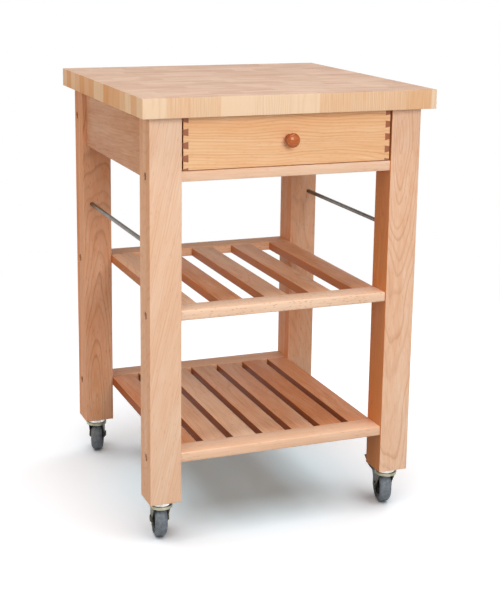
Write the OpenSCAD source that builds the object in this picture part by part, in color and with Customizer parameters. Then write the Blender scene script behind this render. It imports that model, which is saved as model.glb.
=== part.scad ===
// Kitchen trolley with an end-grain worktop, one drawer, two slatted shelves,
// two towel rails and four swivel castors.
// Millimetres. +Z up, front towards -Y, origin on the floor under the middle of the worktop.

/* [Worktop] */
// Width of the worktop
top_w = 610; // [560:5:760]
// Depth of the worktop
top_d = 610; // [560:5:760]
// Thickness of the worktop
top_t = 38; // [30:1:60]
// Height of the worktop's face above the floor
overall_h = 900; // [840:5:960]
// Radius of the worktop's upright corners
top_corner_r = 2; // [1:0.5:6]
// How far the worktop stands out past the legs at the left and right
side_overhang = 20.5; // [12:0.5:30]
// How far the worktop stands out past the legs at the front and back
end_overhang = 25; // [12:0.5:30]

/* [Legs] */
// Side of the square legs
leg_s = 64; // [56:1:72]
// Radius of the legs' upright edges
leg_edge_r = 1.5; // [0.5:0.5:4]

/* [Aprons and boards] */
// Height of the aprons under the worktop
apron_h = 125; // [110:1:150]
// Thickness of the aprons
apron_t = 20; // [16:1:24]
// How far the aprons stand back from the legs' outer faces
apron_inset = 9.5; // [5:0.5:14]
// Length of the tenons on the side aprons
tenon_l = 24; // [12:1:26]
// Thickness of these tenons
tenon_t = 10; // [6:1:12]
// Shoulder above and below these tenons
tenon_shoulder = 12; // [8:1:20]
// Thickness of the drawer rail and of the shelves' front and back boards
board_t = 20; // [18:1:26]
// Width of these boards
board_w = 50; // [44:1:56]
// How far they stand back from the legs' front or back faces
board_inset = 3; // [1:0.5:6]

/* [Shelves] */
// Height of the middle shelf's top above the floor
mid_shelf_z = 484.5; // [420:0.5:540]
// Height of the lower shelf's top above the floor
low_shelf_z = 193; // [170:0.5:240]
// Number of slats in the middle shelf
mid_slats = 5; // [3:1:6]
// Number of slats in the lower shelf
low_slats = 7; // [4:1:7]
// Width of a slat
slat_w = 50; // [40:1:54]
// Thickness of a slat
slat_t = 18.5; // [14:0.5:19]
// How far the slats lie below the top of their boards
slat_drop = 1; // [0.5:0.5:2]
// Thickness of the tongue at each end of a slat
tongue_t = 8; // [6:1:10]
// Length of this tongue
tongue_l = 10; // [6:1:14]
// Shoulder at each side of this tongue
tongue_side = 5; // [2:1:8]

/* [Towel rails] */
// Diameter of a towel rail
towel_d = 9; // [6:0.5:12]
// Height of the towel rails above the floor
towel_z = 604.5; // [560:0.5:650]
// Distance of the rail's middle from the leg's outer face
towel_inset = 19.5; // [14:0.5:24]
// Depth of the rail's holes in the legs
towel_depth = 15; // [10:1:20]

/* [Drawer] */
// Gap at each side of the drawer front
drawer_side_gap = 3.5; // [2:0.5:6]
// Gap between drawer and worktop
drawer_top_gap = 2; // [1.5:0.5:4]
// Gap between drawer and drawer rail
drawer_foot_gap = 1.8; // [1.2:0.2:3]
// Thickness of the drawer front
front_t = 18; // [15:1:22]
// Thickness of the drawer sides
side_t = 10; // [9:0.5:14]
// Thickness of the drawer back
back_t = 12; // [10:1:16]
// Space between the drawer's back and the back apron
drawer_rear_gap = 35.5; // [17.5:0.5:107.5]
// How far the drawer pulls out
drawer_travel = 300; // [200:5:330]
// Height of one finger of the corner joints
finger_h = 12.5; // [10:0.5:16]
// Height of the cut finger at the bottom edge
finger_first = 3.5; // [1.5:0.5:8]
// How far each edge of a finger leans over the side's thickness, as in a dovetail
finger_flare = 2; // [0.5:0.5:3]
// Thickness of the plywood bottom
panel_t = 5; // [4:0.5:6]
// Height of the plywood bottom above the drawer's lower edge
panel_z = 9; // [7:0.5:14]
// Depth of the bottom's grooves
panel_groove = 5; // [3:0.5:6]

/* [Knob] */
// Diameter of the knob's head
knob_d = 28.5; // [22:0.5:36]
// Thickness of the knob's head
knob_head_l = 16; // [12:0.5:20]
// Distance from the drawer front to the front of the knob
knob_l = 25; // [20:0.5:27]
// Diameter of the knob's foot
knob_foot_d = 21; // [14:0.5:22]
// Thickness of this foot
knob_foot_t = 2; // [1:0.5:3]
// Diameter of the knob's neck
knob_neck_d = 12; // [10:0.5:14]
// Diameter of the knob's screw
knob_screw_d = 4; // [3:0.5:5]

/* [Drawer case] */
// How far the bearers' ledges reach under the drawer sides
ledge_w = 18; // [12:1:24]
// Height of the guides beside the drawer, above the drawer's lower edge
guide_h = 32; // [20:1:50]
// Clearance between guide and drawer side
guide_gap = 1; // [0.6:0.1:2]
// Height of the closing stops
stop_h = 28; // [20:1:50]
// Width of the cleat that stops the open drawer
cleat_w = 60; // [40:2:100]
// Thickness of the cleat
cleat_t = 14; // [10:1:20]
// How far the cleat hangs down
cleat_h = 12; // [8:1:16]

/* [Fasteners] */
// Diameter of the frame bolts
bolt_d = 6; // [5:0.5:8]
// Diameter of the bolts' heads
bolt_head_d = 10; // [9:0.5:12]
// Height of the bolts' heads
bolt_head_h = 6; // [4:0.5:8]
// Diameter of the recesses for the bolt heads in the legs
recess_d = 15; // [13:0.5:18]
// Depth of these recesses
recess_depth = 12; // [9:0.5:20]
// Length of bolt inside a cross board
bolt_reach = 32; // [31:1:50]
// Diameter of the barrel nuts
barrel_d = 10; // [9:0.5:12]
// Length of the barrel nuts
barrel_l = 14; // [12:0.5:15]
// Distance of a barrel nut from the end of its board
barrel_set = 24; // [20:1:26]
// Diameter of the dowels
dowel_d = 8; // [6:1:10]
// Length of the dowels
dowel_l = 30; // [20:2:40]
// Distance of a board's dowel from its bolt
dowel_offset = 15; // [12:1:18]
// Distance of the back apron's dowels from its bolt
apron_dowel_offset = 35; // [20:1:40]
// Diameter of the wood screws
screw_d = 3.5; // [3:0.5:4.5]
// Diameter of the wood screws' heads
screw_head_d = 7; // [6:0.5:8]
// Height of the wood screws' heads
screw_head_h = 2; // [1.5:0.5:3]
// Length of a bracket screw under its head
bracket_screw_l = 14; // [8:1:15]
// Length of a bearer or cleat screw under its head
case_screw_l = 28; // [22:1:32]
// How deep a bearer screw bites into the apron
case_screw_bite = 13; // [8:1:15]
// Distance of the outer bearer screws from the legs
guide_screw_set = 54; // [30:2:80]

/* [Worktop brackets] */
// Length of each leg of a bracket
bracket_leg = 20; // [16:1:24]
// Width of a bracket
bracket_w = 16; // [12:1:24]
// Thickness of a bracket
bracket_t = 2; // [1.5:0.5:3]
// Distance of the outer brackets from the middle of a side apron
side_bracket_y = 160; // [100:5:170]
// Distance of the brackets from the middle of the back apron
back_bracket_x = 110; // [60:5:180]

/* [Castors] */
// Diameter of the wheels
wheel_d = 75; // [65:1:80]
// Width of the tyres
tyre_w = 25.5; // [22:0.5:27]
// Radius of the tyres' shoulders
tyre_shoulder_r = 8; // [4:0.5:8]
// Diameter of the hubs
hub_d = 57; // [46:1:58]
// Width of the hub's rim between the tyre's flanks
hub_rim_w = 21; // [16:0.5:22]
// Diameter of the hub's boss
boss_d = 18; // [15:1:24]
// Distance between the fork's arms
fork_gap = 29; // [28.5:0.5:32]
// Thickness of the fork's steel
fork_t = 2.5; // [2:0.5:3]
// Distance of the wheel's axle behind the swivel axis
trail = 26; // [14:1:30]
// Diameter of the fork's crown
crown_d = 46; // [42:1:50]
// Height of the rim that hangs from the crown
crown_skirt = 3.5; // [3:0.5:8]
// Clearance between tyre and crown
wheel_clear = 2.5; // [2.5:0.5:5]
// Thickness of the crown
crown_t = 2.5; // [2.5:0.5:4]
// Height of the race that stands on the crown
race_h = 5; // [2:0.5:6]
// Diameter of this race
race_d = 38; // [30:1:42]
// Thickness of the thrust washer
washer_t = 1; // [0.8:0.1:2]
// Thickness of the stem's upper race
cap_h = 1.7; // [1.5:0.1:4]
// Diameter of the stem's upper race
cap_d = 30; // [26:1:34]
// Height of the stem's hexagon
hex_h = 3; // [3:0.5:6]
// Width across corners of this hexagon
hex_d = 19.6; // [16:0.2:22]
// Diameter of the stem in the leg
stem_d = 10; // [8:1:12]
// Length of the stem in the leg
stem_l = 24; // [18:1:30]
// Diameter of the insert that holds the stem
insert_d = 14; // [13:0.5:18]
// Diameter of the pin that the fork turns on
king_d = 12; // [10:1:14]
// Diameter of the king pin's rivet head
rivet_d = 18; // [16:0.5:19]
// Diameter of the axle bolts
axle_d = 8; // [6:1:10]
// Diameter of the axle bolt's head, and of its nut across corners
axle_head_d = 14; // [12:0.5:16]
// Height of this head
axle_head_h = 2; // [1.5:0.5:4]
// Height of the nut
axle_nut_h = 3; // [3:0.5:6]
// Radius of the fork's eyes round the axle
eye_r = 9; // [8:0.5:11]
// How far the fork's bridge reaches behind the swivel axis
bridge_s = 32; // [28:1:34]
// Angle that the front left castor trails to, from straight back towards the right
turn_fl = 9; // [-180:1:180]
// The same for the front right castor
turn_fr = 13; // [-180:1:180]
// The same for the rear left castor
turn_rl = 20; // [-180:1:180]
// The same for the rear right castor
turn_rr = -62; // [-180:1:180]

/* [Brakes] */
// Distance of the pedal's pin behind the wheel's axle
pedal_s = 24; // [22:0.5:28]
// Height of the pedal's pin above the floor
pedal_z = 73; // [72:0.5:75]
// Diameter of the pedal's pin
pedal_pin_d = 4; // [3:0.5:5]
// Diameter of the tube round this pin
pedal_tube_d = 7.4; // [6.8:0.2:8]
// Length of the pedal's plate behind the pin
pedal_l = 34; // [24:1:40]
// Width of the pedal's plate
pedal_w = 54; // [44:1:60]
// Thickness of the pedal's plate
pedal_t = 3; // [2:0.5:4]
// How far the plate's wings reach ahead of the pin, one outside each arm
pedal_wing_l = 20; // [12:1:24]
// Width of a wing's tip
pedal_wing_w = 3; // [2:0.5:4]
// Rise of the plate, in degrees
pedal_rise = 14; // [8:1:20]
// Diameter of the nose that meets the tyre
nose_d = 5; // [4:0.5:6]
// Distance of the nose from the pin
nose_reach = 5.5; // [5:0.1:7]
// Gap between nose and tyre with the brake off
brake_off_gap = 1.4; // [1:0.1:2]

/* [Clearances] */
// Clearance round a turning pin
run_fit = 0.05; // [0.02:0.01:0.1]
// Clearance of a part that slides or turns face to face with another
face_gap = 0.3; // [0.2:0.05:0.5]
// Clearance of glued and fastened joints
glue_fit = 0.1; // [0.05:0.05:0.3]

/* [Hidden] */
$fn = 64;

top_z = overall_h - top_t;
castor_h = wheel_d + wheel_clear + crown_t + race_h + face_gap + washer_t + cap_h + hex_h;
leg_l = top_z - castor_h;

// Outer faces, inner faces and middles of the legs, as distances from the middle planes
leg_out_x = top_w / 2 - side_overhang;
leg_out_y = top_d / 2 - end_overhang;
leg_in_x = leg_out_x - leg_s;
leg_in_y = leg_out_y - leg_s;
leg_mid_x = leg_out_x - leg_s / 2;
leg_mid_y = leg_out_y - leg_s / 2;

// Aprons
apron_z = top_z - apron_h;
apron_out_x = leg_out_x - apron_inset;
apron_in_x = apron_out_x - apron_t;
apron_out_y = leg_out_y - apron_inset;
apron_in_y = apron_out_y - apron_t;
apron_mid_x = apron_out_x - apron_t / 2;
apron_mid_y = apron_out_y - apron_t / 2;
apron_mid_z = apron_z + apron_h / 2;

// Boards between the legs
board_out_y = leg_out_y - board_inset;
board_in_y = board_out_y - board_w;
board_mid_y = board_out_y - board_w / 2;
rail_top_z = apron_z + board_t;

// Drawer
drawer_w = 2 * (leg_in_x - drawer_side_gap);
drawer_z = rail_top_z + drawer_foot_gap;
drawer_h = top_z - drawer_top_gap - drawer_z;
drawer_y = -board_out_y;
drawer_end_y = apron_in_y - drawer_rear_gap;
finger_count = ceil((drawer_h - finger_first) / finger_h) + 1;
knob_z = drawer_z + drawer_h / 2;

// Drawer case
ledge_top_z = drawer_z - face_gap;
ledge_in_x = drawer_w / 2 - ledge_w;
guide_in_x = drawer_w / 2 + guide_gap;
guide_top_z = drawer_z + guide_h;
guide_screw_z = (rail_top_z + guide_top_z) / 2;
guide_screw_y = [guide_screw_set - leg_in_y, 0, leg_in_y - guide_screw_set];
cleat_y = drawer_end_y - back_t - drawer_travel - face_gap;
cleat_screw_x = cleat_w / 4;

// Castor heights, from the floor up
wheel_r = wheel_d / 2;
crown_z = wheel_d + wheel_clear;
race_z = crown_z + crown_t;
washer_z = race_z + race_h + face_gap;
cap_z = washer_z + washer_t;
hex_z = cap_z + cap_h;
rivet_h = wheel_clear * 0.8;
fork_out = fork_gap / 2 + fork_t;
insert_l = stem_l - 2;

// Angle, seen from the pin, between the tyre's middle and the nose that leaves a gap
pin_s = trail + pedal_s;
pin_from_axle = norm([pedal_s, pedal_z - wheel_r]);
function nose_angle(gap) =
    acos((pow(pin_from_axle, 2) + pow(nose_reach, 2) - pow(wheel_r + nose_d / 2 + gap, 2))
         / (2 * pin_from_axle * nose_reach));
axle_direction = atan2(wheel_r - pedal_z, -pedal_s);
nose_direction = axle_direction + nose_angle(brake_off_gap);

// Where bolts and dowels cross from a leg into a board or the back apron: [distance in y, height]
mid_board_z = mid_shelf_z - board_t / 2;
low_board_z = low_shelf_z - board_t / 2;
rail_mid_z = rail_top_z - board_t / 2;
shelf_bolts = [[board_mid_y, mid_board_z], [board_mid_y, low_board_z]];
front_bolts = concat([[board_mid_y, rail_mid_z]], shelf_bolts);
rear_bolts = concat([[apron_mid_y, apron_mid_z]], shelf_bolts);
shelf_dowels = [for (b = shelf_bolts) [b[0] + dowel_offset, b[1]]];
front_dowels = concat([[board_mid_y + dowel_offset, rail_mid_z]], shelf_dowels);
rear_dowels = concat([for (s = [-1, 1]) [apron_mid_y, apron_mid_z + s * apron_dowel_offset]],
                     shelf_dowels);

// Middles of the brackets: [x, y, turn about Z], with the wall side at the local -X
side_brackets = [for (x = [-1, 1], y = [-1, 0, 1]) [x * apron_in_x, y * side_bracket_y, x < 0 ? 0 : 180]];
back_brackets = [for (x = [-1, 1]) [x * back_bracket_x, apron_in_y, -90]];
brackets = concat(side_brackets, back_brackets);

// Castors in the order front left, front right, rear left, rear right
castor_turns = [turn_fl, turn_fr, turn_rl, turn_rr];
castor_sides = [[-1, -1], [1, -1], [-1, 1], [1, 1]];

// Side view of a fork's arm, as distances behind the swivel axis
arm_front_s = -0.6 * crown_d / 2;
pedal_eye_r = pedal_tube_d / 2 + fork_t;
rivet_l = fork_t / 2;

// Outline of the turned knob from its foot to its crown: [radius, distance from the drawer front]
knob_r = knob_d / 2;
knob_head_mid = knob_l - knob_head_l / 2;
knob_neck_at = (knob_l - knob_head_l) * 0.6;
knob_bite = knob_l * 0.6;
knob_outline = concat(
    [[0, 0], [knob_foot_d / 2, 0], [knob_foot_d / 2, knob_foot_t]],
    [for (a = [15:15:90])
        [knob_neck_d / 2 + (knob_foot_d - knob_neck_d) / 2 * (1 - sin(a)),
         knob_foot_t + (knob_neck_at - knob_foot_t) * (1 - cos(a))]],
    [for (a = [-60:10:80]) [knob_r * cos(a), knob_head_mid + knob_head_l / 2 * sin(a)]],
    [[0, knob_l]]
);

// ---------------------------------------------------------------- basic shapes

// A box from its lowest to its highest corner
module span(low, high) {
    translate(low)
        cube(high - low);
}

// An upright bar with round edges, centred on the origin in x and y
module upright_bar(w, d, h, r) {
    linear_extrude(h)
        union() {
            square([w - 2 * r, d], center = true);
            square([w, d - 2 * r], center = true);
            for (x = [-1, 1], y = [-1, 1])
                translate([x * (w / 2 - r), y * (d / 2 - r)])
                    circle(r);
        }
}

// A cylinder along +X from the origin
module rod_x(d, l) {
    rotate([0, 90, 0])
        cylinder(d = d, h = l);
}

// A cylinder along +Y from the origin
module rod_y(d, l) {
    rotate([-90, 0, 0])
        cylinder(d = d, h = l);
}

// Repeats its child at the left and, mirrored, at the right
module left_and_right() {
    children();
    mirror([1, 0, 0])
        children();
}

// A wood screw with its head at the origin, pointing along -Z; extra > 0 makes its hole
module wood_screw(l, extra = 0) {
    translate([0, 0, -l])
        cylinder(d = screw_d + extra, h = l);
    if (extra == 0)
        cylinder(d = screw_head_d, h = screw_head_h);
}

// ---------------------------------------------------------------- worktop and frame

module worktop() {
    color("burlywood")
        difference() {
            translate([0, 0, top_z])
                upright_bar(top_w, top_d, top_t, top_corner_r);
            for (b = brackets)
                bracket_place(b)
                    bracket_top_screw(2 * glue_fit);
            for (x = [-1, 1])
                cleat_screw(x, 2 * glue_fit);
        }
}

// Bolt hole and recess from a leg's right-hand outer face inwards
module bolt_hole(at) {
    translate([leg_in_x - glue_fit, at[0], at[1]])
        rod_x(bolt_d + 4 * glue_fit, leg_s + 2 * glue_fit);
    translate([leg_out_x - recess_depth, at[0], at[1]])
        rod_x(recess_d, recess_depth + glue_fit);
}

// A hole for half a dowel, and for half the play, on both sides of a leg's inner face
module dowel_hole(at) {
    translate([leg_in_x - dowel_l / 2 - glue_fit, at[0], at[1]])
        rod_x(dowel_d + 2 * glue_fit, dowel_l + 2 * glue_fit);
}

// The right-hand rear leg with the joints that it is given
module leg_shape(bolts, dowels) {
    difference() {
        translate([leg_mid_x, leg_mid_y, castor_h])
            upright_bar(leg_s, leg_s, leg_l, leg_edge_r);
        for (at = bolts)
            bolt_hole(at);
        for (at = dowels)
            dowel_hole(at);
        span([apron_mid_x - tenon_t / 2 - glue_fit, leg_in_y - glue_fit, apron_z + tenon_shoulder - glue_fit],
             [apron_mid_x + tenon_t / 2 + glue_fit, leg_in_y + tenon_l + glue_fit,
              top_z - tenon_shoulder + glue_fit]);
        translate([leg_out_x - towel_inset, leg_in_y - glue_fit, towel_z])
            rod_y(towel_d + 2 * glue_fit, towel_depth + 2 * glue_fit);
        translate([leg_mid_x, leg_mid_y, castor_h - glue_fit])
            cylinder(d = insert_d + 2 * glue_fit, h = stem_l + 3 * glue_fit);
    }
}

module leg_front_left() {
    color("navajowhite")
        rotate([0, 0, 180])
            leg_shape(front_bolts, front_dowels);
}

module leg_front_right() {
    color("navajowhite")
        mirror([0, 1, 0])
            leg_shape(front_bolts, front_dowels);
}

module leg_rear_left() {
    color("tan")
        mirror([1, 0, 0])
            leg_shape(rear_bolts, rear_dowels);
}

module leg_rear_right() {
    color("tan")
        leg_shape(rear_bolts, rear_dowels);
}

// The right-hand side apron with its tenons
module side_apron_shape() {
    difference() {
        union() {
            span([apron_in_x, -leg_in_y, apron_z], [apron_out_x, leg_in_y, top_z]);
            span([apron_mid_x - tenon_t / 2, -leg_in_y - tenon_l, apron_z + tenon_shoulder],
                 [apron_mid_x + tenon_t / 2, leg_in_y + tenon_l, top_z - tenon_shoulder]);
        }
        for (b = side_brackets)
            if (b[0] > 0)
                bracket_place(b)
                    bracket_wall_screw(2 * glue_fit);
        for (y = guide_screw_y)
            guide_screw(y, 2 * glue_fit);
    }
}

module apron_left() {
    color("peru")
        mirror([1, 0, 0])
            side_apron_shape();
}

module apron_right() {
    color("peru")
        side_apron_shape();
}

module apron_back() {
    color("peru")
        difference() {
            span([-leg_in_x, apron_in_y, apron_z], [leg_in_x, apron_out_y, top_z]);
            left_and_right() {
                board_bolt_hole(rear_bolts[0]);
                translate([leg_in_x - barrel_set, apron_in_y - glue_fit, apron_mid_z])
                    rod_y(barrel_d + 2 * glue_fit, apron_t / 2 + barrel_l / 2 + 2 * glue_fit);
                for (i = [0, 1])
                    dowel_hole(rear_dowels[i]);
            }
            for (b = back_brackets)
                bracket_place(b)
                    bracket_wall_screw(2 * glue_fit);
        }
}

// Bolt hole in the end of a board, at the right
module board_bolt_hole(at) {
    translate([leg_in_x - bolt_reach - glue_fit, at[0], at[1]])
        rod_x(bolt_d + 4 * glue_fit, bolt_reach + 2 * glue_fit);
}

// A board between the legs, at the back, with its top at z, bored at both ends
module cross_board(z) {
    mid_z = z - board_t / 2;
    difference() {
        span([-leg_in_x, board_in_y, z - board_t], [leg_in_x, board_out_y, z]);
        left_and_right() {
            board_bolt_hole([board_mid_y, mid_z]);
            dowel_hole([board_mid_y + dowel_offset, mid_z]);
            translate([leg_in_x - barrel_set, board_mid_y, z - board_t - glue_fit])
                cylinder(d = barrel_d + 2 * glue_fit, h = board_t / 2 + barrel_l / 2 + 2 * glue_fit);
        }
    }
}

module front_rail() {
    color("wheat")
        mirror([0, 1, 0])
            cross_board(rail_top_z);
}

// ---------------------------------------------------------------- shelves

// Distance from the middle of one slat to the next
function slat_pitch(count) = (2 * leg_in_x - slat_w) / (count - 1);

// Repeats its child at the middle of each slat of a shelf with its top at z
module at_slats(z, count) {
    for (i = [0:count - 1])
        translate([i * slat_pitch(count) - leg_in_x + slat_w / 2, 0, z - slat_drop - slat_t / 2])
            children();
}

// The slats of one shelf, each with a tongue at both ends
module slat_row(z, count) {
    tongue_w = slat_w - 2 * tongue_side;
    at_slats(z, count) {
        cube([slat_w, 2 * board_in_y, slat_t], center = true);
        cube([tongue_w, 2 * (board_in_y + tongue_l), tongue_t], center = true);
    }
}

// A shelf's board at the back, mortised for the tongues
module shelf_board(z, count) {
    mortise_w = slat_w - 2 * tongue_side + 2 * glue_fit;
    difference() {
        cross_board(z);
        at_slats(z, count)
            translate([0, board_in_y, 0])
                cube([mortise_w, 2 * (tongue_l + glue_fit), tongue_t + 2 * glue_fit], center = true);
    }
}

module mid_shelf_front_board() {
    color("wheat")
        mirror([0, 1, 0])
            shelf_board(mid_shelf_z, mid_slats);
}

module mid_shelf_back_board() {
    color("wheat")
        shelf_board(mid_shelf_z, mid_slats);
}

module mid_shelf_slats() {
    color("sandybrown")
        slat_row(mid_shelf_z, mid_slats);
}

module low_shelf_front_board() {
    color("wheat")
        mirror([0, 1, 0])
            shelf_board(low_shelf_z, low_slats);
}

module low_shelf_back_board() {
    color("wheat")
        shelf_board(low_shelf_z, low_slats);
}

module low_shelf_slats() {
    color("sandybrown")
        slat_row(low_shelf_z, low_slats);
}

// ---------------------------------------------------------------- towel rails

module towel_rail_shape() {
    translate([leg_out_x - towel_inset, -leg_in_y - towel_depth, towel_z])
        rod_y(towel_d, 2 * (leg_in_y + towel_depth));
}

module towel_rail_left() {
    color("silver")
        mirror([1, 0, 0])
            towel_rail_shape();
}

module towel_rail_right() {
    color("silver")
        towel_rail_shape();
}

// ---------------------------------------------------------------- fasteners of the frame

// Repeats its child at every joint of the four legs, with $at = [distance in y, height]
module at_joints(front, rear) {
    left_and_right() {
        for ($at = rear)
            children();
        mirror([0, 1, 0])
            for ($at = front)
                children();
    }
}

module frame_bolts() {
    shank_l = leg_s - recess_depth + bolt_reach;
    color("silver")
        at_joints(front_bolts, rear_bolts)
            translate([leg_out_x - recess_depth, $at[0], $at[1]])
                difference() {
                    union() {
                        translate([-shank_l, 0, 0])
                            rod_x(bolt_d, shank_l);
                        rod_x(bolt_head_d, bolt_head_h);
                    }
                    translate([bolt_head_h / 2, 0, 0])
                        rotate([0, 90, 0])
                            cylinder(d = bolt_head_d * 0.55, h = bolt_head_h, $fn = 6);
                }
}

module barrel_nut() {
    difference() {
        cylinder(d = barrel_d, h = barrel_l, center = true);
        translate([-barrel_d, 0, 0])
            rod_x(bolt_d + 2 * glue_fit, 2 * barrel_d);
    }
}

module barrel_nuts() {
    color("gray") {
        at_joints(front_bolts, shelf_bolts)
            translate([leg_in_x - barrel_set, $at[0], $at[1]])
                barrel_nut();
        left_and_right()
            translate([leg_in_x - barrel_set, apron_mid_y, apron_mid_z])
                rotate([90, 0, 0])
                    barrel_nut();
    }
}

module frame_dowels() {
    color("wheat")
        at_joints(front_dowels, rear_dowels)
            translate([leg_in_x - dowel_l / 2 + glue_fit, $at[0], $at[1]])
                rod_x(dowel_d, dowel_l - 2 * glue_fit);
}

// ---------------------------------------------------------------- worktop brackets

// Sets its child in the corner under the worktop that b names
module bracket_place(b) {
    translate([b[0], b[1], top_z])
        rotate([0, 0, b[2]])
            children();
}

module bracket_wall_screw(extra) {
    translate([bracket_t, 0, -(bracket_leg + bracket_t) / 2])
        rotate([0, 90, 0])
            wood_screw(bracket_screw_l, extra);
}

module bracket_top_screw(extra) {
    translate([(bracket_leg + bracket_t) / 2, 0, -bracket_t])
        rotate([180, 0, 0])
            wood_screw(bracket_screw_l, extra);
}

module top_brackets() {
    color("silver")
        for (b = brackets)
            bracket_place(b)
                difference() {
                    union() {
                        span([0, -bracket_w / 2, -bracket_leg], [bracket_t, bracket_w / 2, 0]);
                        span([0, -bracket_w / 2, -bracket_t], [bracket_leg, bracket_w / 2, 0]);
                    }
                    bracket_wall_screw(2 * glue_fit);
                    bracket_top_screw(2 * glue_fit);
                }
}

module bracket_screws() {
    color("gray")
        for (b = brackets)
            bracket_place(b) {
                bracket_wall_screw(0);
                bracket_top_screw(0);
            }
}

// ---------------------------------------------------------------- drawer case

// A screw through the right-hand guide into the apron, its head sunk in a recess
module guide_screw(y, extra) {
    translate([apron_in_x + case_screw_bite - case_screw_l, y, guide_screw_z])
        rotate([0, -90, 0])
            wood_screw(case_screw_l, extra);
}

// A screw through the cleat into the worktop, at the left for x = -1 or at the right for x = 1
module cleat_screw(x, extra) {
    translate([x * cleat_screw_x, cleat_y - cleat_t / 2, top_z - cleat_h + screw_head_h])
        rotate([180, 0, 0])
            wood_screw(case_screw_l, extra);
}

module bearer_shape() {
    recess_l = apron_in_x + case_screw_bite - case_screw_l - guide_in_x;
    difference() {
        union() {
            span([guide_in_x, -leg_in_y, apron_z], [apron_in_x, leg_in_y, guide_top_z]);
            span([ledge_in_x, -board_in_y, apron_z], [guide_in_x, apron_in_y, ledge_top_z]);
        }
        for (y = guide_screw_y) {
            guide_screw(y, 2 * glue_fit);
            translate([guide_in_x - glue_fit, y, guide_screw_z])
                rod_x(screw_head_d + 4 * glue_fit, recess_l + glue_fit);
        }
    }
}

module bearer_left() {
    color("burlywood")
        mirror([1, 0, 0])
            bearer_shape();
}

module bearer_right() {
    color("burlywood")
        bearer_shape();
}

module drawer_stops() {
    color("burlywood")
        left_and_right()
            span([ledge_in_x, drawer_end_y + face_gap, ledge_top_z],
                 [guide_in_x, apron_in_y, ledge_top_z + stop_h]);
}

module stop_cleat() {
    color("burlywood")
        difference() {
            span([-cleat_w / 2, cleat_y - cleat_t, top_z - cleat_h], [cleat_w / 2, cleat_y, top_z]);
            for (x = [-1, 1]) {
                cleat_screw(x, 2 * glue_fit);
                translate([x * cleat_screw_x, cleat_y - cleat_t / 2, top_z - cleat_h - glue_fit])
                    cylinder(d = screw_head_d + 2 * glue_fit, h = screw_head_h + glue_fit);
            }
        }
}

module case_screws() {
    color("gray") {
        left_and_right()
            for (y = guide_screw_y)
                guide_screw(y, 0);
        for (x = [-1, 1])
            cleat_screw(x, 0);
    }
}

// ---------------------------------------------------------------- drawer

// The fingers of the right-hand side in the joint between y_low and y_high, grown by fit.
// Like dovetails, they are higher at the side's inner face than at its outer face.
module corner_fingers(y_low, y_high, fit) {
    outer_x = drawer_w / 2 + fit;
    inner_x = drawer_w / 2 - side_t - fit;
    lean = finger_flare / 2;
    translate([0, y_high + fit, drawer_z])
        rotate([90, 0, 0])
            linear_extrude(y_high - y_low + 2 * fit)
                intersection() {
                    translate([inner_x, -fit])
                        square([outer_x - inner_x, drawer_h + 2 * fit]);
                    for (i = [0:2:finger_count - 1]) {
                        low = finger_first + (i - 1) * finger_h - fit;
                        high = finger_first + i * finger_h + fit;
                        polygon([[inner_x, low - lean], [outer_x, low + lean],
                                 [outer_x, high - lean], [inner_x, high + lean]]);
                    }
                }
}

// The plywood bottom, grown by fit for its grooves
module bottom_panel(fit) {
    half_w = drawer_w / 2 - side_t + panel_groove + fit;
    span([-half_w, drawer_y + front_t - panel_groove - fit, drawer_z + panel_z - fit],
         [half_w, drawer_end_y - back_t + panel_groove + fit, drawer_z + panel_z + panel_t + fit]);
}

module drawer_front() {
    color("goldenrod")
        difference() {
            span([-drawer_w / 2, drawer_y, drawer_z],
                 [drawer_w / 2, drawer_y + front_t, drawer_z + drawer_h]);
            left_and_right()
                corner_fingers(drawer_y, drawer_y + front_t, glue_fit);
            bottom_panel(glue_fit);
            translate([0, drawer_y - glue_fit, knob_z])
                rod_y(knob_screw_d + 2 * glue_fit, front_t + 2 * glue_fit);
        }
}

module drawer_side_shape() {
    difference() {
        union() {
            span([drawer_w / 2 - side_t, drawer_y + front_t, drawer_z],
                 [drawer_w / 2, drawer_end_y - back_t, drawer_z + drawer_h]);
            corner_fingers(drawer_y, drawer_y + front_t, 0);
            corner_fingers(drawer_end_y - back_t, drawer_end_y, 0);
        }
        bottom_panel(glue_fit);
    }
}

module drawer_side_left() {
    color("wheat")
        mirror([1, 0, 0])
            drawer_side_shape();
}

module drawer_side_right() {
    color("wheat")
        drawer_side_shape();
}

module drawer_back() {
    color("wheat")
        difference() {
            span([-drawer_w / 2, drawer_end_y - back_t, drawer_z],
                 [drawer_w / 2, drawer_end_y, drawer_z + drawer_h]);
            left_and_right()
                corner_fingers(drawer_end_y - back_t, drawer_end_y, glue_fit);
            bottom_panel(glue_fit);
        }
}

module drawer_bottom() {
    color("beige")
        bottom_panel(0);
}

module drawer_knob() {
    color("sienna")
        difference() {
            translate([0, drawer_y, knob_z])
                rotate([90, 0, 0])
                    rotate_extrude()
                        polygon(knob_outline);
            translate([0, drawer_y - knob_bite - glue_fit, knob_z])
                rod_y(knob_screw_d + 2 * glue_fit, knob_bite + 2 * glue_fit);
        }
}

module knob_screw() {
    color("silver") {
        translate([0, drawer_y - knob_bite, knob_z])
            rod_y(knob_screw_d, knob_bite + front_t);
        translate([0, drawer_y + front_t, knob_z])
            rod_y(2 * knob_screw_d, knob_screw_d / 2);
    }
}

// ---------------------------------------------------------------- castors

// Sets its child at castor i: swivel axis on Z, wheel behind it towards +Y
module at_castor(i) {
    translate([castor_sides[i][0] * leg_mid_x, castor_sides[i][1] * leg_mid_y, 0])
        rotate([0, 0, -castor_turns[i]])
            children();
}

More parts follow.
